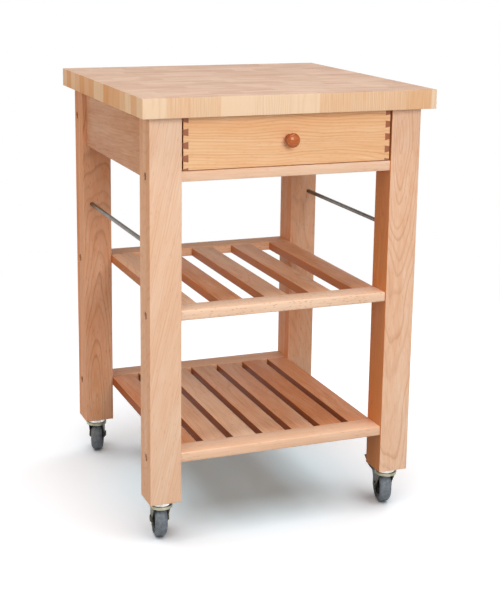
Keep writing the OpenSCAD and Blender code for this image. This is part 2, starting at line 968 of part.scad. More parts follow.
module leg_inserts() {
    color("goldenrod")
        for (i = [0:3])
            at_castor(i)
                translate([0, 0, castor_h])
                    difference() {
                        cylinder(d = insert_d, h = insert_l);
                        translate([0, 0, -glue_fit])
                            cylinder(d = stem_d + 2 * glue_fit, h = insert_l + 2 * glue_fit);
                    }
}

module castor_stems() {
    color("silver")
        for (i = [0:3])
            at_castor(i) {
                translate([0, 0, castor_h])
                    cylinder(d = stem_d, h = stem_l);
                translate([0, 0, hex_z])
                    cylinder(d = hex_d, h = hex_h, $fn = 6);
                translate([0, 0, cap_z])
                    cylinder(d = cap_d, h = cap_h);
                translate([0, 0, crown_z - face_gap])
                    cylinder(d = king_d, h = cap_z - crown_z + face_gap);
                translate([0, 0, crown_z - face_gap - rivet_h])
                    cylinder(d = rivet_d, h = rivet_h);
            }
}

module thrust_washers() {
    color("white")
        for (i = [0:3])
            at_castor(i)
                translate([0, 0, washer_z])
                    difference() {
                        cylinder(d = cap_d, h = washer_t);
                        translate([0, 0, -glue_fit])
                            cylinder(d = king_d + 2 * glue_fit, h = washer_t + 2 * glue_fit);
                    }
}

// Side view of a fork's arm, as [distance behind the swivel axis, height]
module arm_outline(braked) {
    eye_low = [[trail + eye_r, wheel_r], [trail - eye_r, wheel_r], [arm_front_s, crown_z - crown_skirt]];
    back_edge = braked
        ? [[pin_s, pedal_z + pedal_eye_r], [pin_s + pedal_eye_r, pedal_z]]
        : [[bridge_s, crown_z - crown_skirt]];
    polygon(concat([[arm_front_s, race_z], [bridge_s, race_z]], back_edge, eye_low));
    translate([trail, wheel_r])
        circle(eye_r);
    if (braked)
        translate([pin_s, pedal_z])
            circle(pedal_eye_r);
}

// Both arms of a fork, standing from the axle's level up to the crown
module fork_arms(braked) {
    left_and_right()
        translate([fork_gap / 2, 0, 0])
            rotate([90, 0, 90])
                linear_extrude(fork_t)
                    arm_outline(braked);
}

module fork_shape(braked) {
    difference() {
        union() {
            difference() {
                translate([0, 0, crown_z - crown_skirt])
                    cylinder(d = crown_d, h = crown_skirt + crown_t);
                translate([0, 0, crown_z - crown_skirt - glue_fit])
                    cylinder(d = crown_d - 2 * fork_t, h = crown_skirt + glue_fit);
                span([-fork_gap / 2, 0, crown_z - crown_skirt - glue_fit], [fork_gap / 2, crown_d, crown_z]);
            }
            span([-fork_out, 0, crown_z], [fork_out, bridge_s, race_z]);
            translate([0, 0, race_z])
                cylinder(d1 = race_d, d2 = race_d - race_h / 2, h = race_h);
            fork_arms(braked);
        }
        translate([0, 0, crown_z - glue_fit])
            cylinder(d = king_d + 2 * run_fit, h = crown_t + race_h + 2 * glue_fit);
        translate([-fork_out - glue_fit, trail, wheel_r])
            rod_x(axle_d + 2 * run_fit, 2 * (fork_out + glue_fit));
        if (braked)
            translate([-fork_out - glue_fit, pin_s, pedal_z])
                rod_x(pedal_pin_d + 2 * run_fit, 2 * (fork_out + glue_fit));
    }
}

module castor_fork(i, braked) {
    color("lightgray")
        at_castor(i)
            fork_shape(braked);
}

// The axle bolt with its head at the left and its nut at the right
module castor_axle(i) {
    color("silver")
        at_castor(i)
            translate([0, trail, wheel_r]) {
                translate([-fork_out, 0, 0])
                    rod_x(axle_d, 2 * fork_out + axle_nut_h + glue_fit);
                translate([-fork_out - axle_head_h, 0, 0])
                    rod_x(axle_head_d, axle_head_h);
                difference() {
                    translate([fork_out, 0, 0])
                        rotate([0, 90, 0])
                            cylinder(d = axle_head_d, h = axle_nut_h, $fn = 6);
                    translate([fork_out - glue_fit, 0, 0])
                        rod_x(axle_d + 2 * glue_fit, axle_nut_h + 2 * glue_fit);
                }
            }
}

// Turns a profile of [radius, distance along the axle] about the castor's axle
module on_axle(i) {
    at_castor(i)
        translate([0, trail, wheel_r])
            rotate([0, 90, 0])
                rotate_extrude()
                    children();
}

module wheel_hub(i) {
    bore_r = axle_d / 2 + run_fit;
    boss_w = fork_gap - 2 * face_gap;
    web_w = hub_rim_w * 0.5;
    rim_in_r = hub_d / 2 * 0.78;
    color("dimgray")
        on_axle(i) {
            translate([bore_r, -boss_w / 2])
                square([boss_d / 2 - bore_r, boss_w]);
            translate([bore_r, -web_w / 2])
                square([rim_in_r + 1 - bore_r, web_w]);
            translate([rim_in_r, -hub_rim_w / 2])
                square([hub_d / 2 - rim_in_r, hub_rim_w]);
        }
}

module wheel_tyre(i) {
    inner_r = hub_d / 2 + glue_fit;
    color("slategray")
        on_axle(i)
            intersection() {
                translate([inner_r, -tyre_w / 2])
                    square([wheel_r - inner_r, tyre_w]);
                union() {
                    translate([0, -tyre_w / 2])
                        square([wheel_r - tyre_shoulder_r, tyre_w]);
                    translate([0, -tyre_w / 2 + tyre_shoulder_r])
                        square([wheel_r, tyre_w - 2 * tyre_shoulder_r]);
                    for (side = [-1, 1])
                        translate([wheel_r - tyre_shoulder_r, side * (tyre_w / 2 - tyre_shoulder_r)])
                            circle(tyre_shoulder_r);
                }
            }
}

// Plan of the pedal's plate about the pin: a broad tread, and two wings ahead of it
module pedal_plan() {
    plate_at = pedal_eye_r + fork_t;
    wing_in = fork_out + rivet_l + face_gap;
    half = [[wing_in, plate_at], [wing_in, -pedal_wing_l], [wing_in + pedal_wing_w, -pedal_wing_l],
            [pedal_w / 2, 0], [pedal_w / 2, pedal_l]];
    polygon(concat(half, [for (k = [len(half) - 1:-1:0]) [-half[k][0], half[k][1]]]));
}

module brake_pedal(i) {
    tube_w = fork_gap - 2 * face_gap;
    neck_w = tube_w - pedal_t;
    color("black")
        at_castor(i)
            translate([0, pin_s, pedal_z])
                difference() {
                    union() {
                        translate([-tube_w / 2, 0, 0])
                            rod_x(pedal_tube_d, tube_w);
                        rotate([pedal_rise, 0, 0]) {
                            span([-neck_w / 2, 0, 0], [neck_w / 2, pedal_eye_r + fork_t + pedal_t, pedal_t]);
                            linear_extrude(pedal_t)
                                pedal_plan();
                        }
                        translate([-tyre_w / 2, nose_reach * cos(nose_direction), nose_reach * sin(nose_direction)])
                            rod_x(nose_d, tyre_w);
                    }
                    translate([-tube_w, 0, 0])
                        rod_x(pedal_pin_d + 2 * run_fit, 2 * tube_w);
                }
}

// The pedal's pin, riveted over both arms
module brake_pin(i) {
    color("silver")
        at_castor(i)
            translate([0, pin_s, pedal_z]) {
                translate([-fork_out, 0, 0])
                    rod_x(pedal_pin_d, 2 * fork_out);
                left_and_right()
                    translate([fork_out, 0, 0])
                        rod_x(pedal_tube_d, rivet_l);
            }
}

worktop();
leg_front_left();
leg_front_right();
leg_rear_left();
leg_rear_right();
apron_left();
apron_right();
apron_back();
front_rail();
bearer_left();
bearer_right();
drawer_stops();
stop_cleat();
towel_rail_left();
towel_rail_right();
mid_shelf_front_board();
mid_shelf_back_board();
mid_shelf_slats();
low_shelf_front_board();
low_shelf_back_board();
low_shelf_slats();
frame_bolts();
barrel_nuts();
frame_dowels();
top_brackets();
bracket_screws();
case_screws();
leg_inserts();
castor_stems();
thrust_washers();
drawer_front();
drawer_side_left();
drawer_side_right();
drawer_back();
drawer_bottom();
drawer_knob();
knob_screw();
castor_fork(0, false);  // fork_fl
castor_fork(1, true);  // fork_fr
castor_fork(2, false);  // fork_rl
castor_fork(3, true);  // fork_rr
castor_axle(0);  // axle_fl
castor_axle(1);  // axle_fr
castor_axle(2);  // axle_rl
castor_axle(3);  // axle_rr
wheel_hub(0);  // hub_fl
wheel_hub(1);  // hub_fr
wheel_hub(2);  // hub_rl
wheel_hub(3);  // hub_rr
wheel_tyre(0);  // tyre_fl
wheel_tyre(1);  // tyre_fr
wheel_tyre(2);  // tyre_rl
wheel_tyre(3);  // tyre_rr
brake_pedal(1);  // brake_pedal_fr
brake_pedal(3);  // brake_pedal_rr
brake_pin(1);  // brake_pin_fr
brake_pin(3);  // brake_pin_rr
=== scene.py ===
"""Looks of a wooden kitchen trolley: end-grain worktop, drawer, two slatted shelves,
two towel rails and four swivel castors.

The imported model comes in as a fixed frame. Everything here is in metres in that frame.
"""

import logging
import math
from dataclasses import dataclass
from enum import Enum
from functools import partial
from typing import Callable, Iterable, Sequence

import bmesh
import bpy
from mathutils import Matrix, Vector


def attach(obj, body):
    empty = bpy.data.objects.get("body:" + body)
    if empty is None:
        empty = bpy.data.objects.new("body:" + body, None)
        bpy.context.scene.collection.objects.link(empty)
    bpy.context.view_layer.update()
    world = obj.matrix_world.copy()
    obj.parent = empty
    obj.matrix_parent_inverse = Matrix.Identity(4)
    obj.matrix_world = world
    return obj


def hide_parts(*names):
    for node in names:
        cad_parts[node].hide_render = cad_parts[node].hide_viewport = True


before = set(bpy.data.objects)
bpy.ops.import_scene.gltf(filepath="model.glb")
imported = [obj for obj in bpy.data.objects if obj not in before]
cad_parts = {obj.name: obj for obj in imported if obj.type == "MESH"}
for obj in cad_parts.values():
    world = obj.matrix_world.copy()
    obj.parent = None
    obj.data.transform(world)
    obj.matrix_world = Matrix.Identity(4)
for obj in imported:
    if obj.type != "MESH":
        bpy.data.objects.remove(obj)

LOG = logging.getLogger("kitchen_trolley")
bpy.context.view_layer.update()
MM = 0.001
GLUE_LINE = 0.6 * MM

Point = tuple[float, float, float]
Colour = tuple[float, float, float, float]
Tree = bpy.types.NodeTree
Socket = bpy.types.NodeSocket
Piece = bpy.types.Object
NodeAdder = Callable[..., Socket]


# ---------------------------------------------------------------- shared tools


def linear(code: str) -> Colour:
    """Turns an sRGB hex colour into the linear colour that a shader takes.

    Args:
        code: six hex digits after a hash.

    Returns:
        Linear red, green and blue, and an alpha of 1.
    """
    shares = (int(code[i:i + 2], 16) / 255 for i in (1, 3, 5))
    red, green, blue = (s / 12.92 if s <= 0.04045 else ((s + 0.055) / 1.055) ** 2.4 for s in shares)
    return red, green, blue, 1.0


def add_node(tree: Tree, kind: str, links: dict | Sequence = (), out: int | str = 0,
             stops: Sequence[tuple[float, str]] = (), **settings) -> Socket | None:
    """Adds one shader node with its settings and links.

    Args:
        tree: the node tree that it goes into.
        kind: the node's type, without its ShaderNode prefix.
        links: a socket to link or a value to set for each input, in their order or by name or
            number; a hex colour is turned linear.
        out: the output to return, by name or number.
        stops: position and hex colour of each stop, for a colour ramp.
        settings: the node's own properties.

    Returns:
        The output socket, whose node leads to the others, or None for an output node.
    """
    node = tree.nodes.new("ShaderNode" + kind)
    for name, value in settings.items():
        setattr(node, name, value)
    for key, value in (links if isinstance(links, dict) else dict(enumerate(links))).items():
        if isinstance(value, Socket):
            tree.links.new(value, node.inputs[key])
        else:
            node.inputs[key].default_value = linear(value) if isinstance(value, str) else value
    if stops:
        ramp = node.color_ramp
        while len(ramp.elements) < len(stops):
            ramp.elements.new(1.0)
        for element, (place, code) in zip(ramp.elements, stops):
            element.position, element.color = place, linear(code)
    return node.outputs[out] if node.outputs else None


def pick_only(*pieces: Piece) -> None:
    """Deselects everything, then selects the given objects and makes the first one active.

    Args:
        pieces: the objects to work on.
    """
    for other in bpy.context.selected_objects:
        other.select_set(False)
    for piece in pieces:
        piece.select_set(True)
    bpy.context.view_layer.objects.active = pieces[0]


def copied(name: str, source: Piece) -> Piece:
    """Copies an object with a mesh of its own and picks the copy.

    Args:
        name: the copy's name.
        source: the object to copy.

    Returns:
        The copy.
    """
    piece = bpy.data.objects.new(name, source.data.copy())
    bpy.context.scene.collection.objects.link(piece)
    pick_only(piece)
    return piece


def pick_parts(piece: Piece, kind: str, wanted: Callable[..., bool]) -> int:
    """Selects parts of the piece that is in edit mode by their place or normal.

    Args:
        piece: the object in edit mode.
        kind: VERT, EDGE or FACE.
        wanted: says of one vertex, edge or face whether it is picked.

    Returns:
        How many are picked.
    """
    bpy.ops.mesh.select_mode(type=kind)
    bpy.ops.mesh.select_all(action="DESELECT")
    shape = bmesh.from_edit_mesh(piece.data)
    parts = {"VERT": shape.verts, "EDGE": shape.edges, "FACE": shape.faces}[kind]
    picked = [part for part in parts if wanted(part)]
    for part in picked:
        part.select_set(True)
    shape.select_flush_mode()
    bmesh.update_edit_mesh(piece.data)
    return len(picked)


def is_corner(edge: bmesh.types.BMEdge, sharpest: float = 50.0) -> bool:
    """Says whether an edge is an outer corner.

    Args:
        edge: the edge.
        sharpest: the smallest angle between its faces, in degrees, that counts.

    Returns:
        True for a convex edge at least that sharp.
    """
    return (len(edge.link_faces) == 2 and edge.is_convex
            and edge.calc_face_angle() >= math.radians(sharpest))


def turned(name: str, outline: Sequence[tuple[float, float]], centre: Point, axis: Point,
           steps: int = 64, smooth: float = 35.0) -> Piece:
    """Turns a piece about a level axis, as on a lathe.

    Args:
        name: the piece's name.
        outline: radius and distance along the axis of each corner, from end to end; the last one
            repeats the first where the piece is a ring.
        centre: the point that the distances start from.
        axis: direction of the axis.
        steps: facets round the piece.
        smooth: the largest angle in degrees that is shaded smooth.

    Returns:
        The piece, its faces pointing outwards.
    """
    corners = [Vector(centre) + Vector(axis) * along + Vector((0.0, 0.0, radius)) for radius, along in outline]
    bpy.ops.object.select_all(action="DESELECT")
    bpy.ops.mesh.primitive_plane_add(size=MM)
    piece = bpy.context.object
    piece.name = name
    bpy.ops.object.mode_set(mode="EDIT")
    bpy.ops.mesh.select_mode(type="VERT")
    bpy.ops.mesh.select_all(action="SELECT")
    bpy.ops.mesh.merge(type="CENTER")
    bpy.ops.transform.translate(value=corners[0])
    for start, end in zip(corners, corners[1:]):
        bpy.ops.mesh.extrude_region_move(TRANSFORM_OT_translate={"value": end - start})
    bpy.ops.mesh.select_all(action="SELECT")
    bpy.ops.mesh.spin(steps=steps, angle=2 * math.pi, center=centre, axis=axis)
    bpy.ops.mesh.select_all(action="SELECT")
    bpy.ops.mesh.remove_doubles(threshold=0.02 * MM)
    bpy.ops.mesh.dissolve_degenerate(threshold=0.01 * MM)
    bpy.ops.mesh.select_all(action="SELECT")
    bpy.ops.mesh.normals_make_consistent(inside=False)
    bpy.ops.object.mode_set(mode="OBJECT")
    bpy.ops.object.shade_smooth_by_angle(angle=math.radians(smooth))
    return piece


def bar(name: str, place: Point, size: Point, wanted: Callable[..., bool], bevel: float) -> Piece:
    """Makes a straight bar and breaks some of its edges.

    Args:
        name: its name.
        place: its middle.
        size: its length along each axis.
        wanted: says of an edge whether it is broken.
        bevel: width of a broken edge.

    Returns:
        The bar.
    """
    bpy.ops.object.select_all(action="DESELECT")
    bpy.ops.mesh.primitive_cube_add(size=1.0, location=place, scale=size)
    piece = bpy.context.object
    piece.name = name
    bpy.ops.object.transform_apply()
    bpy.ops.object.mode_set(mode="EDIT")
    pick_parts(piece, "EDGE", wanted)
    bpy.ops.mesh.bevel(offset=bevel, segments=2, affect="EDGES")
    bpy.ops.object.mode_set(mode="OBJECT")
    return piece


# ---------------------------------------------------------------- finishes


class Grain(Enum):
    """The direction that a board's fibres run in, as the order of across, across and along."""

    ALONG_X = (1, 2, 0)
    ALONG_Y = (2, 0, 1)
    ALONG_Z = (0, 1, 2)


@dataclass(frozen=True)
class Finish:
    """A surface finish, named for the real one."""

    name: str

    def material(self) -> bpy.types.Material:
        """Returns the finish as a material, made when it is first asked for."""
        found = bpy.data.materials.get(self.name)
        if found:
            return found
        made = bpy.data.materials.new(self.name)
        made.use_nodes = True
        made.node_tree.nodes.clear()
        node = partial(add_node, made.node_tree)
        node("OutputMaterial", {"Surface": self.surface(node)})
        return made

    def surface(self, node: NodeAdder) -> Socket:
        """Builds the nodes of this finish.

        Args:
            node: adds a node to the material.

        Returns:
            The shader's output.
        """
        raise NotImplementedError


def swayed(node: NodeAdder, tone: Socket, *waves: tuple[Socket, float]) -> Socket:
    """Adds patterns to a tone, each about its middle value.

    Args:
        node: adds a node to the material.
        tone: the tone to start from.
        waves: each pattern and its depth.

    Returns:
        The tone with the patterns in it.
    """
    for wave, depth in waves:
        centred = node("Math", [wave, 0.5], operation="SUBTRACT")
        tone = node("Math", [centred, depth, tone], operation="MULTIPLY_ADD")
    return tone


@dataclass(frozen=True)
class PlanedBeech(Finish):
    """Steamed beech, planed, sanded and lacquered satin.

    To the eye it is a pinkish straw wood with faint growth rings, long fine fibres and short
    darker flecks along the grain. The rings are drawn wider apart than the real 2 mm, and the
    flecks longer, because neither shows in the photograph's 2 mm pixels.
    """

    grain: Grain = Grain.ALONG_Z
    seed: float = 0.0
    pale: str = "#f3d0b3"
    warm: str = "#dc9d6d"
    line: str = "#b57045"
    end: str = "#a9653f"
    tone: float = 0.3
    tone_depth: float = 0.3
    # Painted shade on faces that look left: how much warmer and darker they are, and how far towards the line colour
    side_tone: float = 0.0
    shaded_side_depth: float = 0.0
    ring_gap: float = 6.5 * MM
    ring_depth: float = 0.3
    wobble: float = 9 * MM
    pith: tuple[float, float] = (0.09, 0.05)
    lean: tuple[float, float] = (0.02, 0.01)
    fibre_depth: float = 0.75
    fleck_depth: float = 0.3
    fleck_share: float = 0.4
    fleck_scale: float = 240.0
    board_axis: int = 0
    board_start: float = 0.0
    board_width: float = 0.0
    glue_depth: float = 0.35
    roughness: float = 0.56

    def surface(self, node: NodeAdder) -> Socket:
        """Builds the nodes of this finish.

        Args:
            node: adds a node to the material.

        Returns:
            The shader's output.
        """
        xyz = node("SeparateXYZ", [node("TexCoord", out="Object")]).node.outputs
        first, second, along = (xyz[i] for i in self.grain.value)

        # Each board of a glued-up piece has its own number, and so its own tone and figure
        board, glue = 0.0, 0.0
        if self.board_width:
            place = node("MapRange", [xyz[self.board_axis], self.board_start, self.board_start + self.board_width],
                         clamp=False)
            board = node("Math", [place], operation="FLOOR")
            edge = node("Math", [place, 0.5], operation="PINGPONG")
            glue = node("MapRange", [edge, 0.0, GLUE_LINE / self.board_width, self.glue_depth, 0.0])
            glue = node("Math", [glue, node("Math", [place, 0.1], operation="GREATER_THAN")], operation="MULTIPLY")
        number = node("Math", [board, self.seed], operation="ADD")
        chance = node("TexWhiteNoise", {"W": number}, out="Color", noise_dimensions="1D")

        # The fibres lean a little against the board, and each board is cut from another place
        straight = node("CombineXYZ", [first, second, along])
        lean = node("VectorMath", [node("CombineXYZ", [along, along, 0.0]), (*self.lean, 0.0)], operation="MULTIPLY")
        leaned = node("VectorMath", [straight, lean], operation="ADD")
        place = node("VectorMath", [chance, (3.0, 3.0, 3.0), leaned], operation="MULTIPLY_ADD")

        # Growth rings about a pith that lies outside the board, bent by slow waves
        slow = node("VectorMath", [place, (1.0, 1.0, 0.25)], operation="MULTIPLY")
        wave = node("TexNoise", {"Vector": slow, "Scale": 9.0, "Detail": 2.5, "Roughness": 0.5}, out="Color")
        wave = node("VectorMath", [wave, (0.5, 0.5, 0.5)], operation="SUBTRACT")
        bent = node("VectorMath", [wave, (6 * self.wobble,) * 3, leaned], operation="MULTIPLY_ADD")
        spread = node("VectorMath", [chance, (0.03, 0.03, 0.0), bent], operation="MULTIPLY_ADD")
        spoke = node("VectorMath", [spread, (*self.pith, 0.0)], operation="SUBTRACT")
        spoke = node("VectorMath", [spoke, (1.0, 1.0, 0.0)], operation="MULTIPLY")
        radius = node("VectorMath", [spoke], "Value", operation="LENGTH")
        ring = node("Math", [radius, self.ring_gap], operation="DIVIDE")
        late = node("ValToRGB", [node("Math", [ring], operation="FRACT")],
                    stops=((0.0, "#606060"), (0.15, "#101010"), (0.6, "#484848"), (0.88, "#ffffff"), (1.0, "#606060")))
        each = node("TexWhiteNoise", {"W": node("Math", [ring], operation="FLOOR")}, noise_dimensions="1D")
        lines = node("Math", [late, node("MapRange", [each, 0.0, 1.0, 0.15, 1.0])], operation="MULTIPLY")

        # Fibres, broad bands and a soft mottle
        thin, broad, dashes = (node("VectorMath", [place, (1.0, 1.0, share)], operation="MULTIPLY")
                               for share in (0.03, 0.12, 0.22))
        fibre = node("TexNoise", {"Vector": thin, "Scale": 330.0, "Detail": 4.0, "Roughness": 0.62})
        band = node("TexNoise", {"Vector": broad, "Scale": 24.0, "Detail": 2.0})
        mottle = node("TexNoise", {"Vector": slow, "Scale": 75.0, "Detail": 3.0})

        # Flecks where the cut meets the wood's rays
        cell = node("TexVoronoi", {"Vector": dashes, "Scale": self.fleck_scale}).node.outputs
        dash = node("MapRange", [cell["Distance"], 0.1, 0.32, self.fleck_depth, 0.0])
        kept = node("Math", [node("SeparateColor", [cell["Color"]]), self.fleck_share], operation="LESS_THAN")
        fleck = node("Math", [dash, kept], operation="MULTIPLY")

        # Faces that look to the left are painted warmer and darker as painted shade; on slats they are also painted
        # towards the line colour as the deep shade in the gaps
        normal = node("SeparateXYZ", [node("TexCoord", out="Normal")]).node.outputs
        side, deep_side_shade = (node("MapRange", [normal[0], -0.6, -0.9, 0.0, most])
                           for most in (self.side_tone, self.shaded_side_depth))
        luck = node("SeparateColor", [chance], out="Blue")
        tone = node("MapRange", [luck, 0.0, 1.0, self.tone - self.tone_depth / 2, self.tone + self.tone_depth / 2])
        tone = node("Math", [tone, side], operation="ADD")
        tone = swayed(node, tone, (band, 0.8), (fibre, self.fibre_depth), (mottle, 0.35))
        colour = node("Mix", {0: tone, 6: self.pale, 7: self.warm}, 2, data_type="RGBA", clamp_factor=True)
        depth = node("Math", [lines, self.ring_depth], operation="MULTIPLY")
        # Rings, flecks and glue lines are the wood's own; the left-side share is painted shade
        for share in (depth, fleck, glue, deep_side_shade):
            colour = node("Mix", {0: share, 6: colour, 7: self.line}, 2, data_type="RGBA")

        # Across the fibres the cut ends drink more lacquer and look darker
        facing = node("Math", [normal[self.grain.value[2]]], operation="ABSOLUTE")
        cut = node("MapRange", [facing, 0.6, 0.9, 0.0, 0.85])
        colour = node("Mix", {0: cut, 6: colour, 7: self.end}, 2, data_type="RGBA")

        height = node("Math", [lines, -0.5, fibre], operation="MULTIPLY_ADD")
        bump = node("Bump", {"Height": height, "Strength": 0.2, "Distance": 0.12 * MM})
        rough = node("MapRange", [fibre, 0.2, 0.8, self.roughness - 0.06, self.roughness + 0.06])
        return node("BsdfPrincipled", {"Base Color": colour, "Roughness": rough, "Normal": bump, "IOR": 1.5,
                                       "Specular IOR Level": 0.25})


@dataclass(frozen=True)
class EndGrainBeech(Finish):
    """Butcher block of upright beech staves, sanded and oiled.

    To the eye the top is a soft patchwork of greyed pink blocks in rows, each with its own ring
    direction and open pores, and the edges show the staves' sides with upright fibres.
    """

    width: float = 610 * MM
    row_count: int = 16
    row_shift: float = 11.43
    block_width: float = 62 * MM
    top_pale: str = "#b99c87"
    top_deep: str = "#9c7a64"
    side_pale: str = "#fadcba"
    side_deep: str = "#e6ab74"
    # How much painted shade the edge faces that look left get
    side_tone: float = 0.35
    line: str = "#9c6a48"

    def surface(self, node: NodeAdder) -> Socket:
        """Builds the nodes of this finish.

        Args:
            node: adds a node to the material.

        Returns:
            The shader's output.
        """
        where = node("TexCoord", out="Object")
        xyz = node("SeparateXYZ", [where]).node.outputs
        row_depth, front = self.width / self.row_count, -self.width / 2
        rows = node("MapRange", [xyz[1], front, front + row_depth], clamp=False)
        row = node("Math", [rows], operation="FLOOR")
        run = node("Math", [xyz[0], self.block_width], operation="DIVIDE")
        run = node("Math", [row, self.row_shift, run], operation="MULTIPLY_ADD")
        cut = {"W": run, "Scale": 1.0, "Randomness": 0.8}
        block = node("TexVoronoi", cut, "Color", voronoi_dimensions="1D")
        joint = node("TexVoronoi", cut, "Distance", voronoi_dimensions="1D", feature="DISTANCE_TO_EDGE")
        luck = node("SeparateColor", [block]).node.outputs
        joint = node("MapRange", [joint, 0.0, GLUE_LINE / self.block_width, 1.0, 0.0])
        seam = node("Math", [rows, 0.5], operation="PINGPONG")
        seam = node("MapRange", [seam, 0.0, GLUE_LINE / row_depth, 1.0, 0.0])
        glue = node("Math", [joint, seam], operation="MAXIMUM")

        # Rings run through each stave at their own slant, so they end on top and stand on the edges
        turn = node("Math", [luck[0], math.pi], operation="MULTIPLY")
        slow = node("VectorMath", [where, (1.0, 1.0, 0.2)], operation="MULTIPLY")
        bend = node("TexNoise", {"Vector": slow, "Scale": 30.0, "Detail": 2.5})
        by_x = node("Math", [xyz[0], node("Math", [turn], operation="COSINE")], operation="MULTIPLY")
        slant = node("Math", [xyz[1], node("Math", [turn], operation="SINE"), by_x], operation="MULTIPLY_ADD")
        slant = node("Math", [slant, 4.2 * MM], operation="DIVIDE")
        ring = node("Math", [bend, 4.0, slant], operation="MULTIPLY_ADD")
        late = node("ValToRGB", [node("Math", [ring], operation="FRACT")],
                    stops=((0.0, "#303030"), (0.3, "#000000"), (0.8, "#ffffff"), (1.0, "#303030")))

        # Pores and streaks on top, upright fibres on the edges
        speck = node("TexNoise", {"Vector": where, "Scale": 420.0, "Detail": 3.0, "Roughness": 0.7})
        level = node("VectorMath", [where, (0.12, 1.0, 1.0)], operation="MULTIPLY")
        streak = node("TexNoise", {"Vector": level, "Scale": 95.0, "Detail": 4.0, "Roughness": 0.65})
        upright = node("VectorMath", [where, (1.0, 1.0, 0.03)], operation="MULTIPLY")
        fibre = node("TexNoise", {"Vector": upright, "Scale": 420.0, "Detail": 3.5, "Roughness": 0.65})
        cell = node("TexVoronoi", {"Vector": level, "Scale": 36.0}).node.outputs
        check = node("MapRange", [cell["Distance"], 0.04, 0.14, 0.6, 0.0])
        kept = node("Math", [node("SeparateColor", [cell["Color"]]), 0.2], operation="LESS_THAN")
        check = node("Math", [check, kept], operation="MULTIPLY")

        normal = node("SeparateXYZ", [node("TexCoord", out="Normal")]).node.outputs
        is_top = node("MapRange", [node("Math", [normal[2]], operation="ABSOLUTE"), 0.5, 0.9])
        # Edge faces that look left get painted shade, which pushes their tone towards the deep side colour
        left_shade = node("MapRange", [normal[0], -0.5, -0.9, 0.0, self.side_tone])

        top_tone = node("MapRange", [luck[1], 0.0, 1.0, 0.1, 0.65])
        side_tone = node("Math", [node("MapRange", [luck[1], 0.0, 1.0, -0.5, 1.0]), left_shade], operation="ADD")
        top_tone = swayed(node, top_tone, (streak, 2.4), (speck, 0.7))
        side_tone = swayed(node, side_tone, (fibre, 1.3))
        top = node("Mix", {0: top_tone, 6: self.top_pale, 7: self.top_deep}, 2, data_type="RGBA", clamp_factor=True)
        top = node("Mix", {0: check, 6: top, 7: "#7f5945"}, 2, data_type="RGBA")
        side = node("Mix", {0: side_tone, 6: self.side_pale, 7: self.side_deep}, 2, data_type="RGBA",
                    clamp_factor=True)
        colour = node("Mix", {0: is_top, 6: side, 7: top}, 2, data_type="RGBA")
        rings = node("Math", [late, node("MapRange", [luck[2], 0.0, 1.0, 0.02, 0.16])], operation="MULTIPLY")
        for share in (rings, node("Math", [glue, 0.16], operation="MULTIPLY")):
            colour = node("Mix", {0: share, 6: colour, 7: self.line}, 2, data_type="RGBA")

        height = node("Math", [glue, -1.5, speck], operation="MULTIPLY_ADD")
        bump = node("Bump", {"Height": height, "Strength": 0.15, "Distance": 0.12 * MM})
        rough = node("MapRange", [speck, 0.2, 0.8, 0.5, 0.62])
        return node("BsdfPrincipled", {"Base Color": colour, "Roughness": rough, "Normal": bump, "IOR": 1.5,
                                       "Specular IOR Level": 0.22})


@dataclass(frozen=True)
class VarnishedKnobWood(Finish):
    """Turned hardwood, stained red-brown and varnished glossy.

    To the eye it is a warm reddish ball with fine rings of grain under a clear, shiny coat.
    """

    pale: str = "#c9671d"
    deep: str = "#91420f"

    def surface(self, node: NodeAdder) -> Socket:
        """Builds the nodes of this finish.

        Args:
            node: adds a node to the material.

        Returns:
            The shader's output.
        """
        flat = node("VectorMath", [node("TexCoord", out="Object"), (0.08, 1.0, 1.0)], operation="MULTIPLY")
        fibre = node("TexNoise", {"Vector": flat, "Scale": 420.0, "Detail": 4.0, "Roughness": 0.6})
        patch = node("TexNoise", {"Vector": flat, "Scale": 90.0, "Detail": 2.0})
        both = node("Math", [fibre, patch], operation="ADD")
        colour = node("Mix", {0: node("MapRange", [both, 0.7, 1.3]), 6: self.pale, 7: self.deep}, 2, data_type="RGBA")
        return node("BsdfPrincipled", {"Base Color": colour, "Roughness": 0.45, "Coat Weight": 0.6,
                                       "Coat Roughness": 0.1, "IOR": 1.5, "Specular IOR Level": 0.2})


@dataclass(frozen=True)
class Metal(Finish):
    """Plain or plated metal with the marks of how its surface was made.

    To the eye it is a bright sheen broken by fine lines along one direction or by the cloudy
    spangle of a plating bath, with a little warmer tint where the passivate is thicker.
    """

    bright: str = "#c4c2bd"
    tint: str = "#a39c86"
    roughness: float = 0.3
    brush: Point = (1.0, 1.0, 1.0)
    mark_scale: float = 180.0
    mark_depth: float = 0.12

    def surface(self, node: NodeAdder) -> Socket:
        """Builds the nodes of this finish.

        Args:
            node: adds a node to the material.

        Returns:
            The shader's output.
        """
        where = node("TexCoord", out="Object")
        drawn = node("VectorMath", [where, self.brush], operation="MULTIPLY")
        marks = node("TexNoise", {"Vector": drawn, "Scale": self.mark_scale, "Detail": 4.0, "Roughness": 0.6})
        cloud = node("TexNoise", {"Vector": where, "Scale": 70.0, "Detail": 3.0})
        tone = node("MapRange", [cloud, 0.35, 0.65])
        colour = node("Mix", {0: tone, 6: self.bright, 7: self.tint}, 2, data_type="RGBA")
        rough = node("MapRange", [marks, 0.0, 1.0, self.roughness - self.mark_depth, self.roughness + self.mark_depth])
        bump = node("Bump", {"Height": marks, "Strength": 0.2, "Distance": 0.05 * MM})
        return node("BsdfPrincipled", {"Base Color": colour, "Metallic": 1.0, "Roughness": rough, "Normal": bump})


